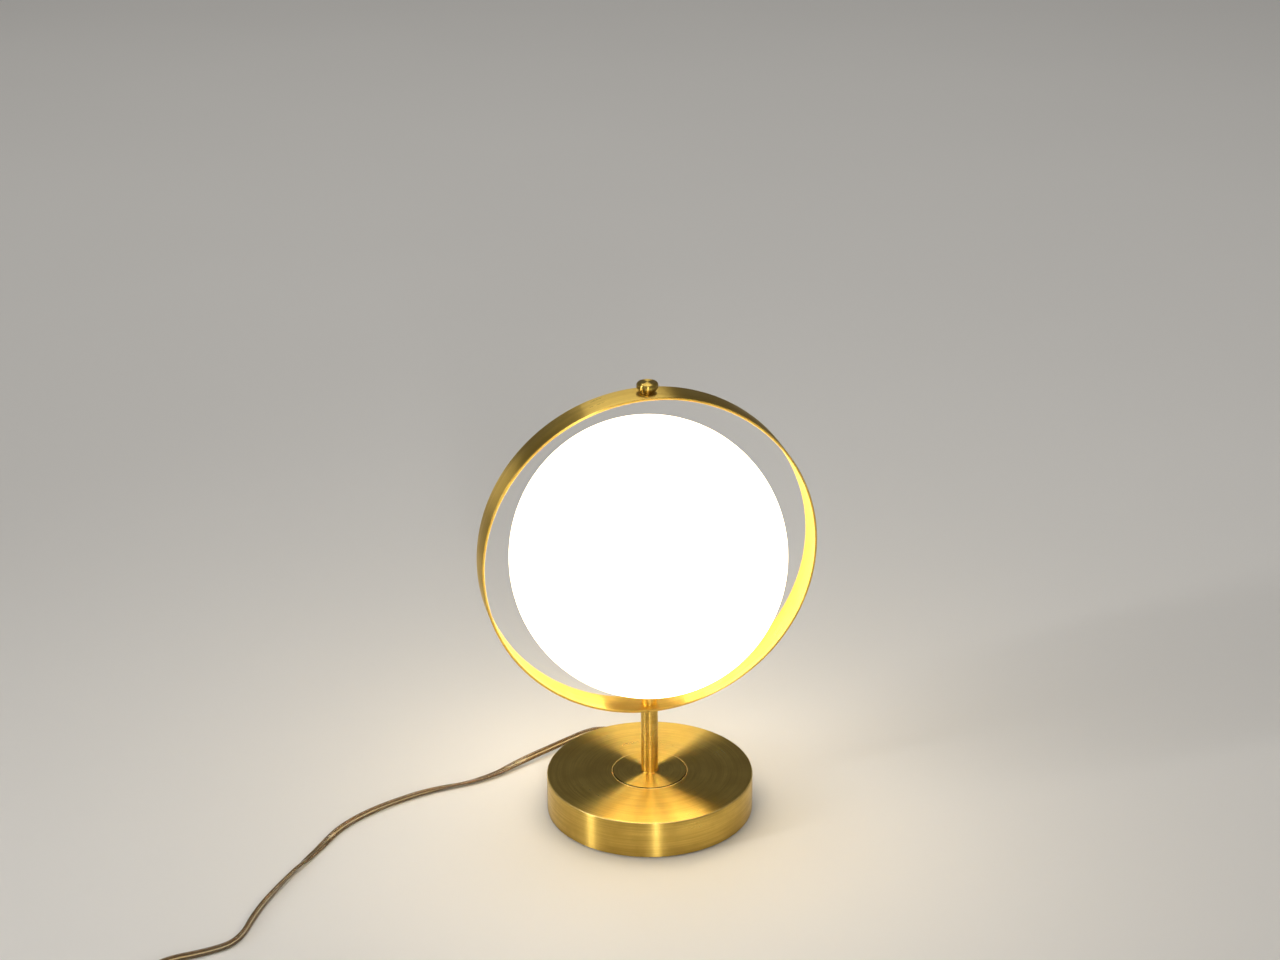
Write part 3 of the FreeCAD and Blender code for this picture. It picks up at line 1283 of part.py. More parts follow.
def plug():
    """Moulded two-blade plug that lies flat, with a tapered tail."""
    shoulder = block("sizes.plug_length", "sizes.plug_width", "sizes.plug_height",
                     x="sizes.plug_tail + sizes.plug_length / 2")
    doc.recompute()
    rounded = doc.addObject("Part::Fillet", "plug_rounding")
    rounded.Base = shoulder
    amount = size("plug_round")
    rounded.Edges = [
        (number, amount, amount)
        for number, edge in enumerate(shoulder.Shape.Edges, start=1)
        if edge.BoundBox.XMin < size("plug_tail") + size("plug_length") - 1e-6
    ]
    tail = doc.addObject("Part::Cone", "plug_tail")
    tail.Placement = Placement(Vector(0, 0, 0), Rotation(Vector(0, 1, 0), 90))
    bound(tail, Radius1="sizes.plug_tail_tip", Radius2="sizes.plug_tail_root",
          Height="sizes.plug_tail + sizes.plug_round", Placement__Base__z="sizes.plug_height / 2")
    bore = lying_cylinder(f"{CORD_RADIUS} + sizes.clamp_clearance", "sizes.plug_bore_depth",
                          z="sizes.plug_height / 2")
    blade_start = "(sizes.plug_tail + sizes.plug_length - sizes.blade_depth)"
    sockets = [blade_block(side, blade_start, "sizes.blade_depth") for side in (-1, 1)]
    placed(named(without(joined(rounded, tail), bore, *sockets), "plug_body"), *PLUG_PLACE, PLUG_HEADING)
    blades = []
    for side in (-1, 1):
        whole = blade_block(side, blade_start, "sizes.blade_depth + sizes.blade_length")
        hole = lying_cylinder("sizes.blade_hole", "4 * sizes.blade_thickness",
                              x="sizes.plug_tail + sizes.plug_length + sizes.blade_hole_place",
                              y=f"{side} * sizes.blade_pitch / 2 - 2 * sizes.blade_thickness",
                              z="sizes.plug_height / 2", along="y")
        blades.append(without(whole, hole))
    placed(named(group(*blades), "plug_blades"), *PLUG_PLACE, PLUG_HEADING)


NODES = [
    "foot_pad", "bottom_cover", "cover_screws", "base_shell", "base_weight", "base_disc",
    "base_washer", "base_nut", "threaded_rod", "stem_tube",
    "ring_hoop", "ring_collar", "ring_knob", "knob_screw",
    "fitter_cup", "fitter_washer", "fitter_nut", "globe_gasket", "globe_glass",
    "holder_bracket", "bracket_screws", "lamp_holder", "holder_contacts", "bulb_base", "bulb_capsule",
    "cord_bushing", "cord_clamp", "clamp_screws", "cord_inner", "wire_live", "wire_neutral",
    "cord_run", "switch_lower", "switch_upper", "switch_wheel", "switch_screws", "switch_contacts",
    "switch_wire", "cord_link", "cord_coil", "coil_tie", "cord_tail", "plug_body", "plug_blades",
]


def build():
    foot_pad()
    bottom_cover()
    cover_screws()
    base_shell()
    base_weight()
    base_disc()
    column()
    ring_hoop()
    ring_collar()
    ring_knob()
    knob_screw()
    fitter_cup()
    fitter_fastening()
    globe_glass()
    holder_bracket()
    bracket_screws()
    lamp_holder()
    holder_contacts()
    bulb_base()
    bulb_capsule()
    cord_bushing()
    cord_clamp()
    inner_cord()
    wires()
    switch_half("switch_lower", upper=False)
    switch_half("switch_upper", upper=True)
    switch_wheel()
    switch_insides()
    lengths = [cord_run(), cord_link(), cord_coil(), cord_tail()]
    through = size("switch_length") - 2 * size("cord_entry")
    print(f"lead from the base to the plug: {sum(lengths) + through:.0f}")
    coil_tie()
    plug()
    doc.recompute()


def check_and_write():
    """Stop on any failed object, then write each sub-part to its own file."""
    for obj in doc.Objects:
        if "Invalid" in obj.State or "Error" in obj.State:
            raise RuntimeError(f"{obj.Label} failed: {obj.State}")
    os.makedirs("parts", exist_ok=True)
    for label in NODES:
        obj = doc.getObjectsByLabel(label)[0]
        shape = obj.Shape
        if shape.isNull() or not shape.isValid() or not shape.Solids:
            raise RuntimeError(f"{label} has no valid shape")
        shape.exportStep(f"parts/{label}.step")
    print(f"{len(NODES)} sub-parts written")


build()
check_and_write()
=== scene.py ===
"""Looks of the glass globe table lamp, around its CAD frame.

Brushed brass base, stem and hoop, a lit opal globe, and a clear flat lead
that leaves the base at the back and ends in a plug.
"""

import math

import bmesh
import bpy
from mathutils import Matrix, Vector


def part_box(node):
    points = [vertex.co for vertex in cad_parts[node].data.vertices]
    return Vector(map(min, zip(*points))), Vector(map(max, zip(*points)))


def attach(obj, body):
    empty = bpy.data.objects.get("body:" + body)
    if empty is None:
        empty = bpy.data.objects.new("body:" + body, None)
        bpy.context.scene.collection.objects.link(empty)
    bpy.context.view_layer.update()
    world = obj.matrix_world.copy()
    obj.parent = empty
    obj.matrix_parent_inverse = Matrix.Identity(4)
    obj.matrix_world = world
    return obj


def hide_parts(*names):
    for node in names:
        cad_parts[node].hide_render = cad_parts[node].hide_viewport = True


bl_info = {
    "name": "Glass globe table lamp",
    "version": (1, 0, 0),
    "blender": (4, 5, 0),
    "location": "View3D > Sidebar > Globe lamp",
    "description": "Builds the finishes and visible pieces of a glass globe table lamp",
    "category": "Object",
}

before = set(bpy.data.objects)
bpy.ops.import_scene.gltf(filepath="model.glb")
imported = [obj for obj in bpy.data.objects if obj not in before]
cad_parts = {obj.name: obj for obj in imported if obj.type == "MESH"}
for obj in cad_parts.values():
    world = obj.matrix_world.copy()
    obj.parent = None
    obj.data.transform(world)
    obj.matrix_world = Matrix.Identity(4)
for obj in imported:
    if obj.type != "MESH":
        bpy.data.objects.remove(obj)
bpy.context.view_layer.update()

MM = 0.001
UP = Vector((0, 0, 1))
BACK = Vector((0, 1, 0))

# Steps round a large turned piece, and along the short arc of a rounded corner
LATHE_STEPS = 256
ARC_STEPS = 6

# Angle past which an edge stays sharp, and distance within which points are one
SMOOTH_ANGLE = math.radians(40)
WELD = 1e-6

# Route of the lead's middle, in metres: control points of its smooth line from base to switch
RUN = [
    (0, 0.074, 0.009), (0, 0.0905, 0.009), (-0.0085, 0.1015, 0.0084), (-0.022, 0.1045, 0.0074),
    (-0.046, 0.0935, 0.0059), (-0.078, 0.0775, 0.0045), (-0.11, 0.06, 0.0032),
    (-0.149, 0.0545, 0.00265), (-0.185, 0.041, 0.00265), (-0.217, 0.021, 0.00265),
    (-0.241, -0.01, 0.00265), (-0.266, -0.0435, 0.00265), (-0.287, -0.077, 0.00265),
    (-0.301, -0.1105, 0.00265), (-0.322, -0.118, 0.00265), (-0.352, -0.1215, 0.00265),
    (-0.3685, -0.138, 0.00265), (-0.3695, -0.161, 0.0046), (-0.35598, -0.17929, 0.008),
]

# Where the lead enters and leaves the switch, its way on to the coil, and from the coil to the plug
SWITCH_ENDS = [
    (-0.33299, -0.1846, 0.008), (-0.29401, -0.1936, 0.008),
]
LINK = [
    (-0.28427, -0.19585, 0.008), (-0.26977, -0.19254, 0.0038), (-0.260603, -0.188546, 0.0038),
]
TAIL = [
    (-0.211076, -0.19639, 0.0096), (-0.19911, -0.20701, 0.0096), (-0.17591, -0.22316, 0.0065),
    (-0.16165, -0.23042, 0.0065),
]

# Coil: its place and size, and the rise of its second layer, which is also the step between turns
COIL_CENTRE = (-0.2402, -0.22)
COIL_START = math.radians(115)
COIL_ANGLE = 12 * math.pi + math.radians(68)
COIL_RADIUS = 0.037
COIL_LAYER = 0.0058
COIL_PITCH = COIL_LAYER / (2 * math.pi)
COIL_LOW = 0.0038
COIL_STEPS = 16
TIE_ANGLE = math.radians(262)

# Height of the line where the lead lies down, and how far from it the lead is still let down
FLOOR_REST = 0.00265
FLOOR_REACH = 0.0025

# Steps of the smooth line from one control point to the next
ROUTE_STEPS = 12

# Turn of the flat lead about its own line, in degrees, at distances along it in metres
TWISTS = [
    (0.0, 75), (0.085, 70), (0.141, -15), (0.20, -75), (0.25, -100), (0.30, -185), (0.325, -245),
    (0.385, -290), (0.42, -270), (0.535, -360), (0.60, -360), (0.645, -450), (1.71, -450),
    (1.77, -540), (2.0, -540),
]


# Settings that a user would change


def colour_setting(name, description, default):
    """A colour with its name, description and default."""
    return bpy.props.FloatVectorProperty(name=name, description=description, default=default,
                                         subtype="COLOR", size=3, min=0, max=1)


def length_setting(name, description, default):
    """A length with its name, description and default in metres."""
    return bpy.props.FloatProperty(name=name, description=description, default=default,
                                   subtype="DISTANCE", unit="LENGTH", min=0)


class LampLooks(bpy.types.PropertyGroup):
    brass_pale: colour_setting("Brass, pale", "Brass where the brushing is bright", (0.84, 0.60, 0.15))
    brass_deep: colour_setting("Brass, deep", "Brass where the brushing is dull", (0.61, 0.405, 0.085))
    brass_roughness: bpy.props.FloatProperty(
        name="Brass roughness", description="Roughness of the brushed brass", default=0.31, min=0, max=1)
    brush_width: length_setting("Brush line", "Width of one line of the brushing", 0.0011)
    edge: length_setting("Edge", "Rounding of the turned edges", 0.0006)
    glow: colour_setting("Glow", "Colour of the lit globe", (1.0, 0.83, 0.56))
    glow_strength: bpy.props.FloatProperty(
        name="Glow strength", description="Strength of the light from the globe", default=4.2, min=0)


class LeadLooks(bpy.types.PropertyGroup):
    width: length_setting("Width", "Width of the flat lead", 0.0052)
    thickness: length_setting("Thickness", "Thickness of the flat lead", 0.0027)
    core: length_setting("Core", "Diameter of each stranded core", 0.0015)
    cover: colour_setting("Cover", "Clear cover of the lead", (0.93, 0.74, 0.45))
    strand_pale: colour_setting("Strand, pale", "Core strands in the light", (0.29, 0.165, 0.08))
    strand_deep: colour_setting("Strand, deep", "Core strands in the shade", (0.055, 0.031, 0.017))


class StageLooks(bpy.types.PropertyGroup):
    floor: colour_setting("Floor", "Colour of the floor", (0.80, 0.79, 0.77))
    world: bpy.props.FloatProperty(
        name="Sky", description="Strength of the even light from all round", default=0.14, min=0)
    lights: bpy.props.FloatProperty(
        name="Lights", description="Power of the soft lights, as a share", default=1.0, min=0)


# Shader and geometry nodes


# Sockets of a mix node that blends colours, which share their names with its other sockets
MIX_SHARE, MIX_FIRST, MIX_SECOND, MIX_RESULT = 0, 6, 7, 2


def set_inputs(tree, node, inputs):
    """Links a node's inputs to sockets, or sets them to values."""
    for key, value in inputs.items():
        if isinstance(value, bpy.types.NodeSocket):
            tree.links.new(value, node.inputs[key])
        else:
            node.inputs[key].default_value = value


def add(tree, kind, inputs=None, **settings):
    """A node with its settings, its inputs linked or set."""
    node = tree.nodes.new(kind)
    for name, value in settings.items():
        setattr(node, name, value)
    set_inputs(tree, node, inputs or {})
    return node


def calc(tree, operation, *values):
    """A number worked out from numbers."""
    return add(tree, "ShaderNodeMath", dict(enumerate(values)), operation=operation).outputs[0]


def vector(tree, operation, *values, **named):
    """A vector worked out from vectors."""
    inputs = {**dict(enumerate(values)), **named}
    return add(tree, "ShaderNodeVectorMath", inputs, operation=operation).outputs[0]


def measure(tree, operation, *values):
    """A number worked out from vectors."""
    inputs = dict(enumerate(values))
    return add(tree, "ShaderNodeVectorMath", inputs, operation=operation).outputs["Value"]


def noise(tree, place, scale, detail=3.0, roughness=0.55):
    """A number that wavers from place to place."""
    inputs = {"Vector": place, "Scale": scale, "Detail": detail, "Roughness": roughness}
    return add(tree, "ShaderNodeTexNoise", inputs).outputs[0]


def between(tree, share, low, high, start=0.35, end=0.65):
    """A number that goes from low to high as the share goes from start to end."""
    inputs = {"Value": share, "From Min": start, "From Max": end, "To Min": low, "To Max": high}
    return add(tree, "ShaderNodeMapRange", inputs).outputs[0]


def blend(tree, share, first, second):
    """A colour between two colours."""
    inputs = {MIX_SHARE: share, MIX_FIRST: (*first, 1), MIX_SECOND: (*second, 1)}
    return add(tree, "ShaderNodeMix", inputs, data_type="RGBA").outputs[MIX_RESULT]


def new_material(name):
    """(material, node tree, shader) of a new material."""
    material = bpy.data.materials.new(name)
    material.use_nodes = True
    tree = material.node_tree
    tree.nodes.clear()
    shader = add(tree, "ShaderNodeBsdfPrincipled")
    add(tree, "ShaderNodeOutputMaterial", {"Surface": shader.outputs[0]})
    return material, tree, shader


def object_place(tree):
    """The object's own coordinates."""
    return add(tree, "ShaderNodeTexCoord").outputs["Object"]


def bumped(tree, height, distance, strength=0.5):
    """Normals that follow a height."""
    inputs = {"Height": height, "Distance": distance, "Strength": strength}
    return add(tree, "ShaderNodeBump", inputs).outputs[0]


def plain_finish(name, pale, deep, roughness, scale=90.0, metallic=0.0, bump=0.0, **constants):
    """A finish whose colour and roughness waver with noise on the object's own coordinates."""
    finer, grain_share, swing = 22, 0.35, 0.15
    material, tree, shader = new_material(name)
    place = object_place(tree)
    cloud = noise(tree, place, scale)
    grain = noise(tree, place, scale * finer, detail=2.0)
    both = calc(tree, "MULTIPLY_ADD", grain, grain_share, calc(tree, "MULTIPLY", cloud, 1 - grain_share))
    set_inputs(tree, shader, {
        "Base Color": blend(tree, between(tree, both, 0.0, 1.0), deep, pale),
        "Roughness": between(tree, both, roughness * (1 + swing), roughness * (1 - swing)),
        "Metallic": metallic,
        **constants,
    })
    if bump:
        set_inputs(tree, shader, {"Normal": bumped(tree, grain, bump)})
    return material


def brushed_brass(name, axis, middle, sheen=1.0):
    """Brass brushed in circles round an axis: fine lines, broad bands and a cloudy lacquer.

    The sheen is how far the gloss is drawn out across the brushing.
    """
    broader, fine_share, quarter_turn = 7, 0.6, 0.25
    looks = bpy.context.scene.lamp_looks
    material, tree, shader = new_material(name)
    place = vector(tree, "SUBTRACT", object_place(tree), middle)
    flat = vector(tree, "MULTIPLY", place, Vector((1, 1, 1)) - axis)
    around = vector(tree, "NORMALIZE", flat)
    across = calc(tree, "ADD", measure(tree, "LENGTH", flat), measure(tree, "DOT_PRODUCT", place, axis))

    def lines(width, wander, detail):
        """Noise drawn out along the brushing, in lines of a width that wander a little."""
        along = vector(tree, "SCALE", around, Scale=wander)
        step = vector(tree, "SCALE", axis, Scale=calc(tree, "DIVIDE", across, width))
        return noise(tree, vector(tree, "ADD", along, step), 1.0, detail)

    fine = lines(looks.brush_width, wander=1.3, detail=4.0)
    broad = lines(looks.brush_width * broader, wander=0.7, detail=2.0)
    patina = noise(tree, place, scale=38.0, detail=4.0, roughness=0.6)
    brush = calc(tree, "MULTIPLY_ADD", fine, fine_share, calc(tree, "MULTIPLY", broad, 1 - fine_share))
    pale = between(tree, brush, 0.15, 1.0, start=0.38, end=0.62)
    dulled = calc(tree, "MULTIPLY", pale, between(tree, patina, 0.35, 1.0, start=0.36, end=0.60))
    rough = calc(tree, "ADD", between(tree, brush, 0.03, -0.03), between(tree, patina, 0.05, -0.02))
    tangent = vector(tree, "CROSS_PRODUCT", axis, around)
    set_inputs(tree, shader, {
        "Base Color": blend(tree, dulled, tuple(looks.brass_deep), tuple(looks.brass_pale)),
        "Roughness": calc(tree, "ADD", rough, looks.brass_roughness),
        "Metallic": 1.0,
        "Anisotropic": sheen,
        "Anisotropic Rotation": quarter_turn,
        "Tangent": tangent,
    })
    return material


def cached(name, build, *values, **named):
    """A material that several operators share."""
    return bpy.data.materials.get(name) or build(name, *values, **named)


# Meshes


def placed(name, data):
    """An object of the scene, at the origin, that shows a mesh, a curve, a light or a camera."""
    thing = bpy.data.objects.new(name, data)
    bpy.context.scene.collection.objects.link(thing)
    return thing


def closed(mesh, work=None):
    """Closes a mesh's seams, drops faces with no area, turns the rest outward and shades it smooth."""
    if work is None:
        work = bmesh.new()
        work.from_mesh(mesh)
    bmesh.ops.remove_doubles(work, verts=work.verts, dist=WELD)
    bmesh.ops.dissolve_degenerate(work, edges=work.edges, dist=WELD)
    bmesh.ops.recalc_face_normals(work, faces=work.faces)
    work.to_mesh(mesh)
    work.free()
    mesh.polygons.foreach_set("use_smooth", [True] * len(mesh.polygons))
    mesh.set_sharp_from_angle(angle=SMOOTH_ANGLE)


def from_bmesh(name, work, material):
    """An object from a bmesh."""
    mesh = bpy.data.meshes.new(name)
    closed(mesh, work)
    mesh.materials.append(material)
    return placed(name, mesh)


def rounded(corners):
    """Corners (across, along, rounding) as points, each rounding turned into a short arc."""
    points = []
    count = len(corners)
    for index, (across, along, radius) in enumerate(corners):
        here = Vector((across, along))
        if not radius:
            points.append(here)
            continue
        before = (Vector(corners[index - 1][:2]) - here).normalized()
        after = (Vector(corners[(index + 1) % count][:2]) - here).normalized()
        half = before.angle(after) / 2
        reach = radius / math.tan(half)
        middle = here + (before + after).normalized() * radius / math.sin(half)
        first, last = here + before * reach - middle, here + after * reach - middle
        turn = first.angle_signed(last)
        for step in range(ARC_STEPS + 1):
            share = -turn * step / ARC_STEPS
            points.append(middle + Matrix.Rotation(share, 2) @ first)
    return points


def lathe(name, corners, material, steps=LATHE_STEPS):
    """A closed outline turned about the upright axis."""
    work = bmesh.new()
    rings = []
    for point in rounded(corners):
        if point.x < WELD:
            rings.append([work.verts.new((0, 0, point.y))] * steps)
            continue
        ring = []
        for step in range(steps):
            angle = 2 * math.pi * step / steps
            ring.append(work.verts.new((point.x * math.cos(angle), point.x * math.sin(angle), point.y)))
        rings.append(ring)
    for ring, other in zip(rings, rings[1:] + rings[:1]):
        for step in range(steps):
            after = (step + 1) % steps
            face_corners = list(dict.fromkeys((ring[step], ring[after], other[after], other[step])))
            if len(face_corners) > 2:
                work.faces.new(face_corners)
    return from_bmesh(name, work, material)


def removed(thing):
    """Takes an object and its mesh out of the scene."""
    mesh = thing.data
    bpy.data.objects.remove(thing)
    bpy.data.meshes.remove(mesh)


def shape_now(thing):
    """A new mesh of an object's shape as its modifiers leave it."""
    graph = bpy.context.evaluated_depsgraph_get()
    return bpy.data.meshes.new_from_object(thing.evaluated_get(graph), depsgraph=graph)


def applied(maker):
    """The mesh that an object's modifiers make, as a plain object in its place."""
    name, mesh = maker.name, shape_now(maker)
    removed(maker)
    mesh.name = name
    return placed(name, mesh)


def cut(thing, cutter):
    """Takes one object's shape away from another."""
    change = thing.modifiers.new("hole", "BOOLEAN")
    change.operation = "DIFFERENCE"
    change.solver = "EXACT"
    change.object = cutter
    result = applied(thing)
    removed(cutter)
    closed(result.data)
    return result


def tree_with(name, inputs):
    """A geometry node tree with named inputs: (tree, {name: socket})."""
    tree = bpy.data.node_groups.new(name, "GeometryNodeTree")
    tree.interface.new_socket("Geometry", in_out="OUTPUT", socket_type="NodeSocketGeometry")
    for label, kind in inputs:
        tree.interface.new_socket(label, in_out="INPUT", socket_type=kind)
    entry = add(tree, "NodeGroupInput")
    return tree, {label: entry.outputs[label] for label, _ in inputs}


def finish_tree(tree, geometry, material):
    """Realize Instances, Set Material and the way out."""
    real = add(tree, "GeometryNodeRealizeInstances", {"Geometry": geometry}).outputs[0]
    painted = add(tree, "GeometryNodeSetMaterial", {"Geometry": real, "Material": material}).outputs[0]
    add(tree, "NodeGroupOutput", {"Geometry": painted})


def run_tree(name, tree, values, source=None):
    """The piece that a geometry node tree makes from its named inputs."""
    maker = placed(name, source or bpy.data.meshes.new(name))
    change = maker.modifiers.new("nodes", "NODES")
    change.node_group = tree
    for item in tree.interface.items_tree:
        if item.in_out == "INPUT" and item.name in values:
            change[item.identifier] = values[item.name]
    thing = applied(maker)
    closed(thing.data)
    return thing


# Base and column


# Brass darkened as painted shade, under the disc's edge and in the gap to the bead
PAINTED_SHADE = {"pale": (0.14, 0.09, 0.03), "deep": (0.06, 0.036, 0.012), "roughness": 0.6, "metallic": 1.0}

# Brass rubbed paler by wear and painted paler as a highlight, on the base's rounded rim and on the bead
# round the disc
RUBBED_AND_HIGHLIGHT = {"pale": (0.90, 0.70, 0.28), "deep": (0.76, 0.55, 0.17), "roughness": 0.42, "metallic": 1.0}


def low_high(node):
    """Corners of a CAD node's box as vectors."""
    low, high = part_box(node)
    return Vector(low), Vector(high)


def round_bar(name, radius, length, middle, material, steps=48):
    """A round bar that lies from front to back, to cut a hole with."""
    work = bmesh.new()
    bmesh.ops.create_cone(work, cap_ends=True, segments=steps, radius1=radius, radius2=radius,
                          depth=length)
    bmesh.ops.rotate(work, verts=work.verts, matrix=Matrix.Rotation(math.pi / 2, 3, "X"))
    bmesh.ops.translate(work, verts=work.verts, vec=middle)
    return from_bmesh(name, work, material)


def base_shell(brass, rod_hole, crease):
    """Shell with a rounded rim, a thin bead round the disc and the hole for the lead."""
    low, high = low_high("base_shell")
    wall, roof, bevel, bevel_round = 1.5 * MM, 1.6 * MM, 0.7 * MM, 1.1 * MM
    disc_radius = low_high("base_disc")[1].x
    bead_inside, bead_outside = disc_radius + 0.45 * MM, disc_radius + 1.2 * MM
    bead_top, bead_round = high.z + 0.35 * MM, 0.3 * MM
    painted_shade_inside = disc_radius - 1.0 * MM
    lead_hole, lead_height, cut_length = 4.2 * MM, 9.0 * MM, 20.0 * MM
    shell = lathe("base_shell_turned", [
        (high.x, low.z, crease),
        (high.x, high.z - bevel, bevel_round),
        (high.x - bevel, high.z, bevel_round),
        (bead_outside, high.z, 0),
        (bead_outside, bead_top, bead_round),
        (bead_inside, bead_top, bead_round),
        (bead_inside, high.z, 0),
        (painted_shade_inside, high.z, 0),
        (rod_hole, high.z, 0),
        (rod_hole, high.z - roof, 0),
        (high.x - wall, high.z - roof, 0),
        (high.x - wall, low.z, crease),
    ], brass)
    shell = cut(shell, round_bar("lead_hole", lead_hole, cut_length, (0, high.y, lead_height), brass))
    shell.data.materials.append(cached("brass_rubbed_highlight", plain_finish, **RUBBED_AND_HIGHLIGHT))
    shell.data.materials.append(cached("brass_painted_shade", plain_finish, **PAINTED_SHADE))
    for face in shell.data.polygons:
        reach, rise = face.center.xy.length, face.center.z
        # Rounded rim and bead: brass rubbed paler by wear and painted paler as a highlight
        if rise > high.z + WELD or (reach > high.x - bevel and rise > high.z - bevel):
            face.material_index = 1
        # Ring between the disc's foot and the bead: brass painted dark as shade
        elif painted_shade_inside < reach < bead_inside and rise > high.z - WELD:
            face.material_index = 2
    return shell


def base_disc(brass, rod_hole):
    """Disc that stands on the shell, with a groove under its edge that is painted dark as shade."""
    low, high = low_high("base_disc")
    bevel, edge, groove, groove_depth = 0.12 * MM, 0.04 * MM, 0.4 * MM, 0.9 * MM
    disc = lathe("base_disc_turned", [
        (high.x - groove_depth, low.z, 0),
        (high.x - groove_depth, low.z + groove, 0),
        (high.x, low.z + groove, 0),
        (high.x, high.z - bevel, 0),
        (high.x - bevel, high.z, edge),
        (rod_hole, high.z, 0),
        (rod_hole, low.z, 0),
    ], brass)
    disc.data.materials.append(cached("brass_painted_shade", plain_finish, **PAINTED_SHADE))
    # Side under the disc's top bevel and the groove below it: brass painted dark as shade
    for face in disc.data.polygons:
        if face.center.xy.length > high.x - groove_depth - bevel and face.center.z < high.z - bevel:
            face.material_index = 1
    return disc


class LAMP_OT_base(bpy.types.Operator):
    """Turned base shell with the hole for the lead, and the small disc on it"""
    bl_idname = "lamp.base"
    bl_label = "Base"

    def execute(self, context):
        brass = cached("brass_turned", brushed_brass, UP, (0, 0, 0))
        rod_hole = 4.3 * MM
        shell = base_shell(brass, rod_hole, crease=context.scene.lamp_looks.edge / 3)
        disc = base_disc(brass, rod_hole)
        for thing, node in ((shell, "base_shell"), (disc, "base_disc")):
            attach(thing, "root")
            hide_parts(node)
        return {"FINISHED"}


class LAMP_OT_column(bpy.types.Operator):
    """Stem tube between base and hoop, and the collar between hoop and globe"""
    bl_idname = "lamp.column"
    bl_label = "Column"

    def execute(self, context):
        brass = cached("brass_satin", brushed_brass, UP, (0, 0, 0), sheen=0.85)
        edge = context.scene.lamp_looks.edge / 2
        stem_bore, collar_bore, foot_ring, steps = 4.7 * MM, 4.3 * MM, 0.35 * MM, 128
        for node, bore, ring in (("stem_tube", stem_bore, foot_ring), ("ring_collar", collar_bore, 0)):
            low, high = low_high(node)
            ring_top = low.z + 2 * ring
            corners = [
                (high.x, ring_top, 0), (high.x, high.z, edge), (bore, high.z, 0), (bore, low.z, 0),
            ]
            if ring:
                corners += [(high.x + ring, low.z, ring / 3), (high.x + ring, ring_top, ring)]
            thing = lathe(node + "_turned", corners, brass, steps)
            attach(thing, "root")
            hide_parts(node)
        return {"FINISHED"}


# Hoop and knob


def hoop_tree():
    """A flat strap bent to a ring that stands upright."""
    tree, given = tree_with("hoop", [
        ("Radius", "NodeSocketFloat"), ("Thickness", "NodeSocketFloat"), ("Width", "NodeSocketFloat"),
        ("Edge", "NodeSocketFloat"), ("Centre height", "NodeSocketFloat"), ("Steps", "NodeSocketInt"),
        ("Material", "NodeSocketMaterial"),
    ])
    edge_steps = 4
    middle = calc(tree, "SUBTRACT", given["Radius"], calc(tree, "DIVIDE", given["Thickness"], 2.0))
    ring = add(tree, "GeometryNodeCurvePrimitiveCircle", {
        "Resolution": given["Steps"], "Radius": middle,
    })
    strap = add(tree, "GeometryNodeCurvePrimitiveQuadrilateral", {
        "Width": given["Thickness"], "Height": given["Width"],
    })
    eased = add(tree, "GeometryNodeFilletCurve", {
        "Curve": strap.outputs[0], "Radius": given["Edge"], "Count": edge_steps,
    }, mode="POLY")
    body = add(tree, "GeometryNodeCurveToMesh", {
        "Curve": ring.outputs[0], "Profile Curve": eased.outputs[0],
    })
    raised = add(tree, "ShaderNodeCombineXYZ", {"Z": given["Centre height"]})
    upright = add(tree, "GeometryNodeTransform", {
        "Geometry": body.outputs[0],
        "Translation": raised.outputs[0],
        "Rotation": (math.pi / 2, 0, 0),
    })
    finish_tree(tree, upright.outputs[0], given["Material"])
    return tree


class LAMP_OT_hoop(bpy.types.Operator):
    """Flat brass strap bent to the upright ring round the globe"""
    bl_idname = "lamp.hoop"
    bl_label = "Hoop"

    def execute(self, context):
        thickness = 1.8 * MM
        low, high = low_high("ring_hoop")
        middle = (low + high) / 2
        hoop = run_tree("ring_hoop_bent", hoop_tree(), {
            "Radius": (high.z - low.z) / 2,
            "Thickness": thickness,
            "Width": high.y - low.y,
            "Edge": context.scene.lamp_looks.edge / 2,
            "Centre height": middle.z,
            "Steps": LATHE_STEPS,
            "Material": cached("brass_hoop", brushed_brass, BACK, middle),
        })
        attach(hoop, "root")
        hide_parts("ring_hoop")
        return {"FINISHED"}


class LAMP_OT_knob(bpy.types.Operator):
    """Small turned knob on top of the hoop"""
    bl_idname = "lamp.knob"
    bl_label = "Knob"

    def execute(self, context):
        low, high = low_high("ring_knob")
        foot, foot_round = 4.7 * MM, 0.2 * MM
        waist, waist_round, top_round = 3.9 * MM, 0.8 * MM, 2.2 * MM
        knob = lathe("ring_knob_turned", [
            (0, low.z, 0),
            (foot, low.z, foot_round),
            (high.x, low.z + waist, waist_round),
            (high.x, high.z, top_round),
            (0, high.z, 0),
        ], cached("brass_turned", brushed_brass, UP, (0, 0, 0)), steps=96)
        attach(knob, "root")
        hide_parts("ring_knob")
        return {"FINISHED"}


# Globe


def opal(name):
    """Lit opal glass: warm light through a smooth milky wall, a little brighter at the top."""
    dim_below, bright_above = 0.105, 0.22
    looks = bpy.context.scene.lamp_looks
    material, tree, shader = new_material(name)
    place = object_place(tree)
    milk = noise(tree, place, scale=14.0, detail=2.0)
    height = add(tree, "ShaderNodeSeparateXYZ", {"Vector": place}).outputs["Z"]
    level = between(tree, height, 0.9, 1.06, dim_below, bright_above)
    waver = between(tree, milk, 0.985, 1.015)
    strength = calc(tree, "MULTIPLY", calc(tree, "MULTIPLY", level, waver), looks.glow_strength)
    set_inputs(tree, shader, {
        "Base Color": blend(tree, between(tree, milk, 0.0, 1.0), (0.93, 0.89, 0.82), (0.97, 0.94, 0.88)),
        "Roughness": between(tree, milk, 0.22, 0.18),
        "IOR": 1.5,
        "Subsurface Weight": 0.3,
        "Subsurface Radius": (0.01, 0.008, 0.006),
        "Subsurface Scale": 0.4,
        "Emission Color": (*looks.glow, 1),
        "Emission Strength": strength,
    })
    return material


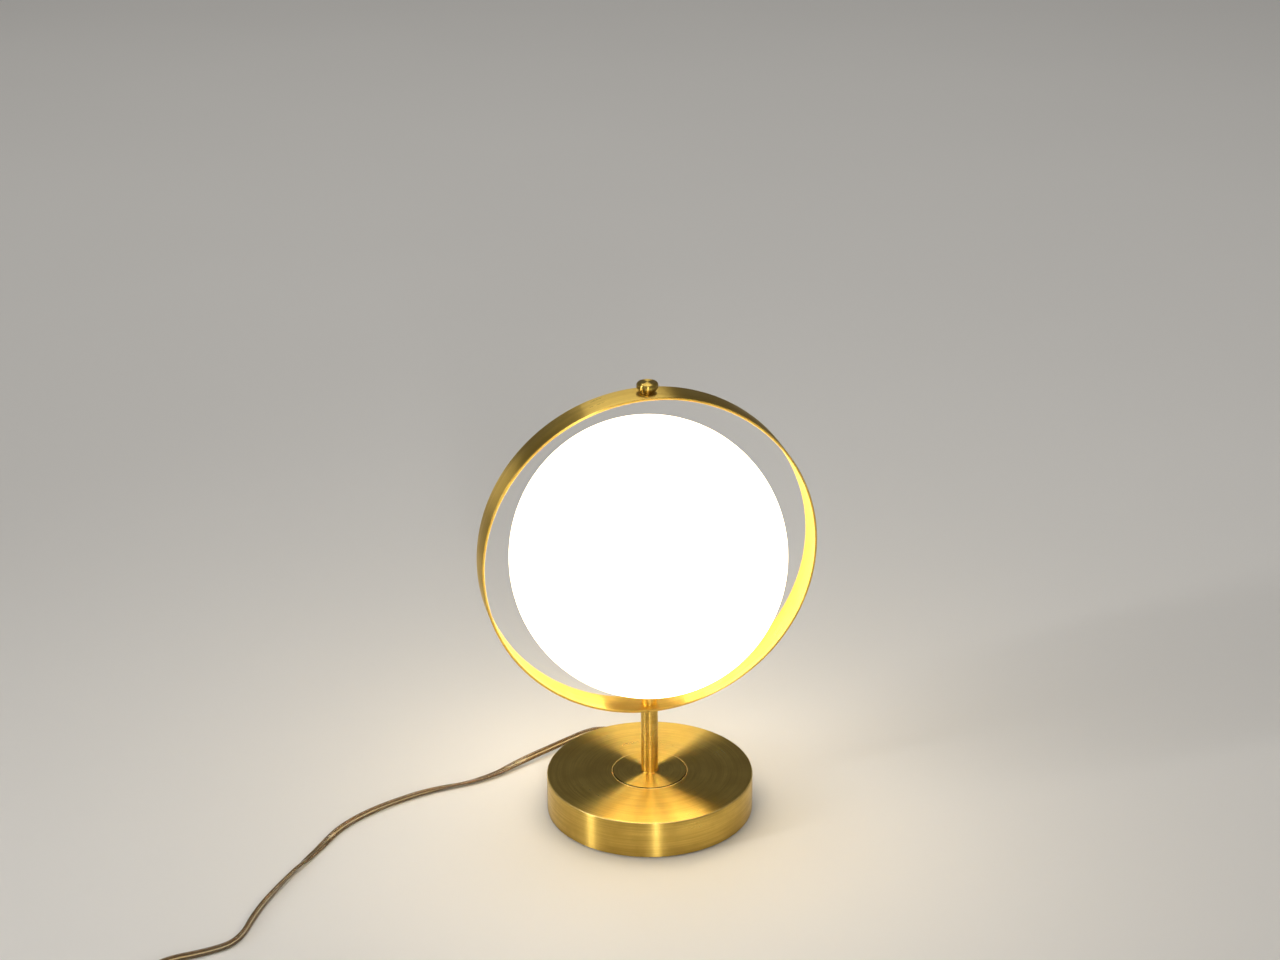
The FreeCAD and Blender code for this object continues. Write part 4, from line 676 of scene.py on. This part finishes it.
class LAMP_OT_globe(bpy.types.Operator):
    """Blown opal globe with the neck turned inwards round its mouth"""
    bl_idname = "lamp.globe"
    bl_label = "Globe"

    def execute(self, context):
        high = low_high("globe_glass")[1]
        across, tall, wall = 95.8 * MM, 98.0 * MM, 2.2 * MM
        centre = high.z - tall
        neck, neck_wall = 24.3 * MM, 2.6 * MM
        ledge_low, ledge_high, ledge_edge, ledge_round = 109.2 * MM, 112.0 * MM, 21.5 * MM, 0.4 * MM
        arc_steps, steps = 80, 192

        def arc(half_across, half_tall, last_radius):
            """Points of an ellipse from its top down to a radius near its bottom."""
            last = math.pi - math.asin(last_radius / half_across)
            points = []
            for step in range(arc_steps + 1):
                angle = last * step / arc_steps
                points.append((half_across * math.sin(angle), centre + half_tall * math.cos(angle), 0))
            return points

        outline = arc(across, tall, neck)
        outline += [
            (neck, ledge_low, 0),
            (ledge_edge, ledge_low, ledge_round),
            (ledge_edge, ledge_high, ledge_round),
            (neck + neck_wall, ledge_high, 0),
        ]
        outline += reversed(arc(across - wall, tall - wall, neck + neck_wall))
        globe = lathe("globe_blown", outline, cached("opal_lit", opal), steps)
        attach(globe, "globe")
        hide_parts("globe_glass")
        return {"FINISHED"}


# Finishes of the small pieces


FINISHES = {
    "opal_glass": {"pale": (0.97, 0.94, 0.88), "deep": (0.93, 0.89, 0.82), "roughness": 0.2},
    "clear_glass": {"pale": (0.97, 0.97, 0.96), "deep": (0.93, 0.94, 0.94), "roughness": 0.06,
                    "scale": 60.0, "Transmission Weight": 0.9, "IOR": 1.47},
    "white_ceramic": {"pale": (0.86, 0.85, 0.81), "deep": (0.78, 0.76, 0.71), "roughness": 0.5,
                      "bump": 0.00004},
    "zinc_steel": {"pale": (0.72, 0.72, 0.70), "deep": (0.52, 0.52, 0.51), "roughness": 0.32,
                   "metallic": 1.0, "scale": 260.0, "bump": 0.00001},
    "cast_iron": {"pale": (0.20, 0.20, 0.20), "deep": (0.12, 0.12, 0.12), "roughness": 0.75,
                  "scale": 220.0, "bump": 0.0003},
    "black_rubber": {"pale": (0.045, 0.045, 0.045), "deep": (0.022, 0.022, 0.022), "roughness": 0.82,
                     "scale": 180.0, "bump": 0.00008},
    "white_silicone": {"pale": (0.84, 0.84, 0.81), "deep": (0.76, 0.76, 0.73), "roughness": 0.55,
                       "bump": 0.00002},
    "contact_brass": {"pale": (0.84, 0.68, 0.36), "deep": (0.66, 0.49, 0.22), "roughness": 0.28,
                      "metallic": 1.0, "scale": 300.0, "bump": 0.00001},
    "wire_cover": {"pale": (0.34, 0.21, 0.115), "deep": (0.25, 0.15, 0.08), "roughness": 0.5},
    "smoked_plastic": {"pale": (0.085, 0.05, 0.032), "deep": (0.05, 0.028, 0.018), "roughness": 0.26,
                       "scale": 120.0, "bump": 0.00001},
    "grey_nylon": {"pale": (0.31, 0.31, 0.30), "deep": (0.24, 0.24, 0.235), "roughness": 0.48,
                   "bump": 0.00002},
    "black_strap": {"pale": (0.05, 0.05, 0.05), "deep": (0.03, 0.03, 0.03), "roughness": 0.42,
                    "scale": 200.0, "bump": 0.00002},
}


# Screws and coil tie


def screw_tree():
    """Round-headed screws with a cross recess, heads down, one on each point of a mesh."""
    shank_start, recess_length, recess_width = 0.8, 1.15, 0.26
    tree, given = tree_with("screws", [
        ("Geometry", "NodeSocketGeometry"), ("Head radius", "NodeSocketFloat"),
        ("Head height", "NodeSocketFloat"), ("Shank radius", "NodeSocketFloat"),
        ("Length", "NodeSocketFloat"), ("Recess depth", "NodeSocketFloat"), ("Steps", "NodeSocketInt"),
        ("Material", "NodeSocketMaterial"),
    ])

    def moved(geometry, rise):
        lift = add(tree, "ShaderNodeCombineXYZ", {"Z": rise}).outputs[0]
        return add(tree, "GeometryNodeTransform", {"Geometry": geometry, "Translation": lift}).outputs[0]

    def rod(radius, depth, rise):
        inputs = {"Vertices": given["Steps"], "Radius": radius, "Depth": depth}
        return moved(add(tree, "GeometryNodeMeshCylinder", inputs).outputs["Mesh"], rise)

    def bar(across, along):
        size = add(tree, "ShaderNodeCombineXYZ", {
            "X": across, "Y": along, "Z": calc(tree, "MULTIPLY", given["Recess depth"], 2.0),
        })
        return add(tree, "GeometryNodeMeshCube", {"Size": size.outputs[0]}).outputs["Mesh"]

    head_middle = calc(tree, "DIVIDE", given["Head height"], 2.0)
    head = rod(given["Head radius"], given["Head height"], head_middle)
    shank_foot = calc(tree, "MULTIPLY", given["Head height"], shank_start)
    shank_length = calc(tree, "SUBTRACT", given["Length"], shank_foot)
    shank_middle = calc(tree, "ADD", shank_foot, calc(tree, "DIVIDE", shank_length, 2.0))
    shank = rod(given["Shank radius"], shank_length, shank_middle)
    whole = add(tree, "GeometryNodeMeshBoolean", operation="UNION", solver="EXACT")
    for part in (head, shank):
        tree.links.new(part, whole.inputs["Mesh 2"])
    wide = calc(tree, "MULTIPLY", given["Head radius"], recess_length)
    narrow = calc(tree, "MULTIPLY", given["Head radius"], recess_width)
    screw = add(tree, "GeometryNodeMeshBoolean", {"Mesh 1": whole.outputs["Mesh"]},
                operation="DIFFERENCE", solver="EXACT")
    for cross in (bar(wide, narrow), bar(narrow, wide)):
        tree.links.new(cross, screw.inputs["Mesh 2"])
    points = add(tree, "GeometryNodeMeshToPoints", {"Mesh": given["Geometry"]})
    screws = add(tree, "GeometryNodeInstanceOnPoints", {
        "Points": points.outputs[0], "Instance": screw.outputs["Mesh"],
    })
    finish_tree(tree, screws.outputs[0], given["Material"])
    return tree


# Places of the screws' heads across the part, in millimetres
SCREWS = {
    "cover_screws": [(0.0, -50.0), (43.3, 25.0), (-43.3, 25.0)],
    "clamp_screws": [(7.5, 45.0), (-7.5, 45.0)],
    "switch_screws": [(-327.48, -174.07), (-294.35, -181.72)],
}


class LAMP_OT_screws(bpy.types.Operator):
    """Cross-recess screws of the bottom cover, the lead's clamp and the switch"""
    bl_idname = "lamp.screws"
    bl_label = "Screws"

    def execute(self, context):
        tree = screw_tree()
        sizes = {
            "Head radius": 2.75 * MM,
            "Head height": 1.3 * MM,
            "Shank radius": 1.45 * MM,
            "Recess depth": 0.7 * MM,
            "Steps": 48,
            "Material": cached("zinc_steel_finish", plain_finish, **FINISHES["zinc_steel"]),
        }
        for node, places in SCREWS.items():
            low, high = low_high(node)
            points = bpy.data.meshes.new(node + "_places")
            points.from_pydata([(x * MM, y * MM, low.z) for x, y in places], [], [])
            screws = run_tree(node + "_cut", tree, {**sizes, "Length": high.z - low.z}, source=points)
            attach(screws, "root")
            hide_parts(node)
        return {"FINISHED"}


def round_box(left, right, low, high, corner, grown):
    """A rectangle with rounded corners, grown on all sides, as points."""
    left, right, low, high = left - grown, right + grown, low - grown, high + grown
    return rounded([(x, y, corner + grown) for x, y in (
        (left, low), (right, low), (right, high), (left, high))])


def band(name, inside, outside, width, matrix, material):
    """A flat band closed to a loop, between two outlines with as many points each, set in its place."""
    work = bmesh.new()
    rows = [
        [work.verts.new((point.x, side * width / 2, point.y)) for point in outline]
        for outline, side in ((outside, -1), (outside, 1), (inside, 1), (inside, -1))
    ]
    for row, other in zip(rows, rows[1:] + rows[:1]):
        for step in range(len(row)):
            after = (step + 1) % len(row)
            work.faces.new((row[step], row[after], other[after], other[step]))
    bmesh.ops.transform(work, matrix=matrix, verts=work.verts)
    return from_bmesh(name, work, material)


class LAMP_OT_tie(bpy.types.Operator):
    """Strap that holds the coil's turns together"""
    bl_idname = "lamp.tie"
    bl_label = "Coil tie"

    def execute(self, context):
        strap = cached("black_strap_finish", plain_finish, **FINISHES["black_strap"])
        low, high = low_high("coil_tie")
        near, far, thick, corner, width = 20.0 * MM, 35.6 * MM, 0.85 * MM, 2.4 * MM, 7.0 * MM
        inside, outside = [
            round_box(near, far, low.z + thick, high.z - thick, corner, grown) for grown in (0.0, thick)
        ]
        place = Matrix.Translation((*COIL_CENTRE, 0)) @ Matrix.Rotation(TIE_ANGLE, 4, "Z")
        tie = band("coil_tie_strap", inside, outside, width, place, strap)
        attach(tie, "root")
        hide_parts("coil_tie")
        return {"FINISHED"}


# Fittings that keep their CAD shape


# Pieces that are shown as a closed copy of their CAD shape, each with its body
CLOSED_COPIES = {
    "bulb_capsule": "bulb",
    "plug_body": "root",
    "switch_lower": "root",
    "switch_upper": "root",
}


def slot_of(node):
    """The record's material slot of a CAD node."""
    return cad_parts[node].data.materials[0].name.split(".")[0]


def finish_of(slot):
    """The material for a slot of the record."""
    if slot == "satin_brass":
        return cached("brass_turned", brushed_brass, UP, (0, 0, 0))
    if slot == "clear_lead":
        return cached("lead_cover", lead_cover)
    return cached(slot + "_finish", plain_finish, **FINISHES[slot])


def closed_copy(node):
    """A copy of a CAD node's mesh with its seams closed."""
    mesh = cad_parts[node].data.copy()
    closed(mesh)
    return placed(node + "_closed", mesh)


def evenly_shaded(thing):
    """The same piece with normals that follow its large faces, so that flat sides look flat."""
    change = thing.modifiers.new("normals", "WEIGHTED_NORMAL")
    change.keep_sharp = True
    return applied(thing)


def seam_cutter(material):
    """The shape of the seam round the switch, where its two halves meet."""
    end, near_side, far_side, corner = 25.0 * MM, 6.5 * MM, 17.5 * MM, 9.0 * MM
    depth, height = 0.35 * MM, 0.45 * MM
    inside, outside = [
        round_box(-end, end, -near_side, far_side, corner, grown) for grown in (-depth, depth)
    ]
    middle, heading = (-0.3135, -0.1891, 0.008), math.radians(-13)
    turn = Matrix.Rotation(heading, 4, "Z") @ Matrix.Rotation(-math.pi / 2, 4, "X")
    return band("switch_seam", inside, outside, height, Matrix.Translation(middle) @ turn, material)


class LAMP_OT_fittings(bpy.types.Operator):
    """Finishes of the pieces that keep their CAD shape, and closed copies of a few of them"""
    bl_idname = "lamp.fittings"
    bl_label = "Fittings"

    def execute(self, context):
        slots = {node: slot_of(node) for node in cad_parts}
        for node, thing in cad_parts.items():
            for index in range(len(thing.data.materials)):
                thing.data.materials[index] = finish_of(slots[node])
        for node, body in CLOSED_COPIES.items():
            clean = closed_copy(node)
            if node.startswith("switch"):
                clean = cut(clean, seam_cutter(clean.data.materials[0]))
            clean = evenly_shaded(clean)
            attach(clean, body)
            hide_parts(node)
        return {"FINISHED"}


# Lead


def lead_cover(name):
    """Clear amber cover of the lead."""
    deepening = (0.95, 0.85, 0.66)
    material, tree, shader = new_material(name)
    haze = noise(tree, object_place(tree), scale=210.0)
    clear = tuple(bpy.context.scene.lead_looks.cover)
    deep = tuple(share * tint for share, tint in zip(clear, deepening))
    set_inputs(tree, shader, {
        "Base Color": blend(tree, between(tree, haze, 0.0, 1.0), deep, clear),
        "Roughness": between(tree, haze, 0.13, 0.07),
        "IOR": 1.45,
        "Transmission Weight": 0.88,
        "Specular IOR Level": 0.6,
    })
    return material


def lead_strands(name):
    """Stranded core: fine wires laid in a long twist, painted paler on their crests and darker between
    them as light and shade.
    """
    turns_per_metre, wires, wire_rise = 70.0, 9.0, 0.00012
    looks = bpy.context.scene.lead_looks
    material, tree, shader = new_material(name)
    along = add(tree, "ShaderNodeAttribute", attribute_name="along").outputs["Fac"]
    around = add(tree, "ShaderNodeAttribute", attribute_name="around").outputs["Fac"]
    laid = calc(tree, "MULTIPLY_ADD", along, turns_per_metre, around)
    ridge = calc(tree, "PINGPONG", calc(tree, "MULTIPLY", laid, wires), 0.5)
    rise = calc(tree, "MULTIPLY", ridge, 2.0)
    dull = noise(tree, object_place(tree), scale=160.0)
    # Painted light and shade: paler on each wire's crest, darker between the wires
    share = calc(tree, "MULTIPLY", rise, between(tree, dull, 0.45, 1.0))
    set_inputs(tree, shader, {
        "Base Color": blend(tree, share, tuple(looks.strand_deep), tuple(looks.strand_pale)),
        "Roughness": between(tree, dull, 0.42, 0.28),
        "Metallic": 1.0,
        "Normal": bumped(tree, rise, wire_rise, strength=0.8),
    })
    return material


def coil_corners():
    """Corners of the coil: a flat wind inwards, an eased climb over half a turn, and out again.

    The corners stand a little outside the coil, because its smooth line runs inside them.
    """
    half = COIL_ANGLE / 2
    inner = COIL_RADIUS - COIL_PITCH * half
    climb = math.pi / 2
    count = round(COIL_ANGLE / (2 * math.pi) * COIL_STEPS)
    stretch = 1 / math.cos(COIL_ANGLE / count / 2)
    corners = []
    for index in range(count):
        angle = COIL_ANGLE * (index + 0.5) / count
        from_middle = angle - half
        if abs(from_middle) >= climb:
            radius = inner + COIL_PITCH * abs(from_middle)
            height = COIL_LOW if from_middle < 0 else COIL_LOW + COIL_LAYER
        else:
            share = from_middle / climb
            radius = inner + COIL_PITCH * climb * (share ** 2 + 1) / 2
            height = COIL_LOW + COIL_LAYER * (0.5 + 0.75 * share - 0.25 * share ** 3)
        turned = COIL_START - angle
        corners.append((
            COIL_CENTRE[0] + radius * stretch * math.cos(turned),
            COIL_CENTRE[1] + radius * stretch * math.sin(turned),
            height,
        ))
    return corners


def route_points(corners):
    """Points read from the smooth line that has a row of corners as its control points."""
    curve = bpy.data.curves.new("lead_route", "CURVE")
    curve.dimensions = "3D"
    curve.resolution_u = ROUTE_STEPS
    spline = curve.splines.new("NURBS")
    spline.points.add(len(corners) - 1)
    for point, corner in zip(spline.points, corners):
        point.co = (*corner, 1)
    spline.order_u = 3
    spline.use_endpoint_u = True
    route = placed("lead_route", curve)
    mesh = shape_now(route)
    points = [vert.co.copy() for vert in mesh.vertices]
    bpy.data.meshes.remove(mesh)
    bpy.data.objects.remove(route)
    bpy.data.curves.remove(curve)
    return points


def twist_at(distance):
    """Turn of the flat lead at a distance along it, eased between the listed turns."""
    for (start, first), (end, last) in zip(TWISTS, TWISTS[1:]):
        if distance <= end:
            share = (distance - start) / (end - start)
            share = share * share * (3 - 2 * share)
            return math.radians(first + (last - first) * share)
    return math.radians(TWISTS[-1][1])


def lead_stations(width, thickness):
    """Points of the lead's middle, the direction of its width at each, and its length so far."""
    points = route_points(RUN + SWITCH_ENDS + LINK + coil_corners() + TAIL)
    lobe = thickness / 2
    distance = 0.0
    stations = []
    for index, point in enumerate(points):
        if index:
            distance += (point - points[index - 1]).length
        ahead = (points[min(index + 1, len(points) - 1)] - points[max(index - 1, 0)]).normalized()
        side = ahead.cross(UP).normalized()
        lift = side.cross(ahead).normalized()
        twist = twist_at(distance)
        across = side * math.cos(twist) + lift * math.sin(twist)
        half = lobe + (width / 2 - lobe) * abs(math.sin(twist))
        on_floor = max(0.0, 1 - abs(point.z - FLOOR_REST) / FLOOR_REACH)
        sunk = (FLOOR_REST - half) * on_floor
        stations.append((point - UP * sunk, across, distance))
    return stations


def twin_section(tree, ring, half, offset):
    """A ring drawn out to two round lobes with a slim waist between them."""
    lobe_steepness, waist_steepness, waist_depth = 2.6, 9.0, 0.27
    place = add(tree, "GeometryNodeInputPosition").outputs[0]
    parts = add(tree, "ShaderNodeSeparateXYZ", {"Vector": place})
    unit_x = calc(tree, "DIVIDE", parts.outputs["X"], half)
    lobe = calc(tree, "TANH", calc(tree, "MULTIPLY", unit_x, lobe_steepness))
    spread = calc(tree, "MULTIPLY_ADD", lobe, offset, parts.outputs["X"])
    squared = calc(tree, "MULTIPLY", unit_x, unit_x)
    waist = calc(tree, "EXPONENT", calc(tree, "MULTIPLY", squared, -waist_steepness))
    slim = calc(tree, "SUBTRACT", 1.0, calc(tree, "MULTIPLY", waist, waist_depth))
    shaped = add(tree, "ShaderNodeCombineXYZ", {
        "X": spread, "Y": calc(tree, "MULTIPLY", parts.outputs["Y"], slim),
    })
    return add(tree, "GeometryNodeSetPosition", {"Geometry": ring, "Position": shaped.outputs[0]})


def core_sections(tree, ring, offset):
    """Two rings side by side."""
    sides = []
    for sign in (-1.0, 1.0):
        moved = add(tree, "ShaderNodeCombineXYZ", {"X": calc(tree, "MULTIPLY", offset, sign)})
        sides.append(add(tree, "GeometryNodeTransform", {
            "Geometry": ring, "Translation": moved.outputs[0],
        }))
    both = add(tree, "GeometryNodeJoinGeometry")
    for side in sides:
        tree.links.new(side.outputs[0], both.inputs[0])
    return both


def lead_tree(twin):
    """A section swept along the lead: the twin cover, or two round cores."""
    tree, given = tree_with("lead_twin" if twin else "lead_cores", [
        ("Geometry", "NodeSocketGeometry"), ("Width", "NodeSocketFloat"),
        ("Thickness", "NodeSocketFloat"), ("Core", "NodeSocketFloat"), ("Steps", "NodeSocketInt"),
        ("Material", "NodeSocketMaterial"),
    ])
    line = add(tree, "GeometryNodeMeshToCurve", {"Mesh": given["Geometry"]}).outputs[0]
    across = add(tree, "GeometryNodeInputNamedAttribute", {"Name": "across"}, data_type="FLOAT_VECTOR")
    aimed = add(tree, "GeometryNodeSetCurveNormal", {
        "Curve": line, "Normal": across.outputs[0],
    }, mode="FREE")
    half = calc(tree, "DIVIDE", given["Thickness"], 2.0)
    offset = calc(tree, "SUBTRACT", calc(tree, "DIVIDE", given["Width"], 2.0), half)
    share = add(tree, "GeometryNodeSplineParameter").outputs["Factor"]
    radius = half if twin else calc(tree, "DIVIDE", given["Core"], 2.0)
    ring = add(tree, "GeometryNodeCurvePrimitiveCircle", {
        "Resolution": given["Steps"], "Radius": radius,
    })
    marked = add(tree, "GeometryNodeStoreNamedAttribute", {
        "Geometry": ring.outputs[0], "Name": "around", "Value": share,
    }, data_type="FLOAT", domain="POINT").outputs[0]
    section = twin_section(tree, marked, half, offset) if twin else core_sections(tree, marked, offset)
    body = add(tree, "GeometryNodeCurveToMesh", {
        "Curve": aimed.outputs[0], "Profile Curve": section.outputs[0], "Fill Caps": True,
    })
    finish_tree(tree, body.outputs[0], given["Material"])
    return tree


def lead_line(stations):
    """The lead's middle as a mesh line that carries the width's direction and the length so far."""
    points, directions, lengths = zip(*stations)
    mesh = bpy.data.meshes.new("lead_line")
    edges = [(index, index + 1) for index in range(len(points) - 1)]
    mesh.from_pydata(points, edges, [])
    across = mesh.attributes.new("across", "FLOAT_VECTOR", "POINT")
    across.data.foreach_set("vector", [number for direction in directions for number in direction])
    along = mesh.attributes.new("along", "FLOAT", "POINT")
    along.data.foreach_set("value", lengths)
    return mesh


def merged(name, things):
    """Several meshes as one object with all their materials."""
    with bpy.context.temp_override(active_object=things[0], selected_editable_objects=things,
                                   selected_objects=things, object=things[0]):
        bpy.ops.object.join()
    things[0].name = name
    things[0].data.name = name
    return things[0]


class LAMP_OT_lead(bpy.types.Operator):
    """Clear flat two-core lead from the base through the switch and its coil to the plug"""
    bl_idname = "lamp.lead"
    bl_label = "Lead"

    def execute(self, context):
        looks = context.scene.lead_looks
        stations = lead_stations(looks.width, looks.thickness)
        values = {"Width": looks.width, "Thickness": looks.thickness, "Core": looks.core}
        pieces = []
        for twin, steps, name, build in ((True, 20, "lead_cover", lead_cover),
                                         (False, 10, "lead_strands", lead_strands)):
            inputs = {**values, "Steps": steps, "Material": cached(name, build)}
            pieces.append(run_tree(name + "_swept", lead_tree(twin), inputs, source=lead_line(stations)))
        lead = merged("lead", pieces)
        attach(lead, "root")
        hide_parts("cord_run", "cord_link", "cord_coil", "cord_tail")
        return {"FINISHED"}


# Stage


def area_light(name, place, target, power, size, height=None, spread=180):
    """A soft warm-white light, square, or upright with a height and a narrower beam in degrees."""
    lamp = bpy.data.lights.new(name, "AREA")
    lamp.energy = power
    lamp.size = size
    lamp.color = (1, 0.975, 0.935)
    lamp.spread = math.radians(spread)
    if height:
        lamp.shape = "RECTANGLE"
        lamp.size_y = height
    holder = placed(name, lamp)
    holder.location = place
    holder.rotation_euler = (Vector(target) - Vector(place)).to_track_quat("-Z", "Y").to_euler()


def photo_camera():
    """Camera where the photograph was taken from, as fitted to it."""
    place, heading = (-0.3411, -1.4559, 0.8762), Vector((0.2246, 0.9744, 0)).normalized()
    pitch, roll = math.radians(22.637), math.radians(-0.4276)
    lens = bpy.data.cameras.new("photo")
    lens.lens = 67.18
    lens.sensor_width = 36.0
    lens.clip_start = 0.05
    lens.clip_end = 60.0
    ahead = heading * math.cos(pitch) - UP * math.sin(pitch)
    right = ahead.cross(UP).normalized()
    above = right.cross(ahead)
    turned_right = right * math.cos(roll) + above * math.sin(roll)
    turned_above = above * math.cos(roll) - right * math.sin(roll)
    turn = Matrix((turned_right, turned_above, -ahead)).transposed()
    camera = placed("photo", lens)
    camera.matrix_world = Matrix.Translation(place) @ turn.to_4x4()
    bpy.context.scene.camera = camera


def floor_finish(name):
    """Pale matt floor with a faint cloud in it."""
    shading = 0.985
    material, tree, shader = new_material(name)
    cloud = noise(tree, object_place(tree), scale=1.5, detail=2.0)
    pale = tuple(bpy.context.scene.stage_looks.floor)
    shade = tuple(shading * share for share in pale)
    set_inputs(tree, shader, {
        "Base Color": blend(tree, between(tree, cloud, 0.0, 1.0), shade, pale),
        "Roughness": 0.7,
        "Specular IOR Level": 0.25,
    })
    return material


class LAMP_OT_stage(bpy.types.Operator):
    """Pale floor, soft lights and the camera"""
    bl_idname = "lamp.stage"
    bl_label = "Stage"

    def execute(self, context):
        looks = context.scene.stage_looks
        floor_reach, warm_white = 14, (1.0, 0.985, 0.96, 1)
        work = bmesh.new()
        bmesh.ops.create_grid(work, x_segments=1, y_segments=1, size=floor_reach)
        floor = from_bmesh("floor", work, cached("floor", floor_finish))
        world = bpy.data.worlds.new("studio")
        world.use_nodes = True
        background = world.node_tree.nodes["Background"]
        background.inputs["Color"].default_value = warm_white
        background.inputs["Strength"].default_value = looks.world
        context.scene.world = world
        picture_middle, base_middle, beam = (-0.05, -0.05, 0.12), (0, 0, 0.02), 50
        area_light("top", (0.1, 1.4, 4.5), picture_middle, power=88 * looks.lights, size=3.2)
        area_light("left", (-1.858, -0.395, 0.72), base_middle, power=1.1 * looks.lights,
                   size=0.1, height=0.9, spread=beam)
        area_light("front", (-0.303, -2.582, 1.0), base_middle, power=1.7 * looks.lights,
                   size=0.12, height=1.1, spread=beam)
        photo_camera()
        context.scene.view_settings.view_transform = "Standard"
        return {"FINISHED"}


# Panel and registration


OPERATORS = (LAMP_OT_base, LAMP_OT_column, LAMP_OT_hoop, LAMP_OT_knob, LAMP_OT_globe, LAMP_OT_fittings,
             LAMP_OT_screws, LAMP_OT_tie, LAMP_OT_lead, LAMP_OT_stage)


class LAMP_PT_panel(bpy.types.Panel):
    """Lists the lamp's pieces and settings"""
    bl_idname = "LAMP_PT_panel"
    bl_label = "Globe lamp"
    bl_space_type = "VIEW_3D"
    bl_region_type = "UI"
    bl_category = "Globe lamp"

    def draw(self, context):
        for group in (context.scene.lamp_looks, context.scene.lead_looks, context.scene.stage_looks):
            for name in group.__annotations__:
                self.layout.prop(group, name)
        for operator in OPERATORS:
            self.layout.operator(operator.bl_idname)


GROUPS = {"lamp_looks": LampLooks, "lead_looks": LeadLooks, "stage_looks": StageLooks}


def register():
    for kind in (*GROUPS.values(), *OPERATORS, LAMP_PT_panel):
        bpy.utils.register_class(kind)
    for name, group in GROUPS.items():
        setattr(bpy.types.Scene, name, bpy.props.PointerProperty(type=group))


def unregister():
    for name in GROUPS:
        delattr(bpy.types.Scene, name)
    for kind in (LAMP_PT_panel, *reversed(OPERATORS), *reversed(GROUPS.values())):
        bpy.utils.unregister_class(kind)


def main():
    register()
    for operator in OPERATORS:
        group, name = operator.bl_idname.split(".")
        getattr(getattr(bpy.ops, group), name)()


if __name__ == "__main__":
    main()
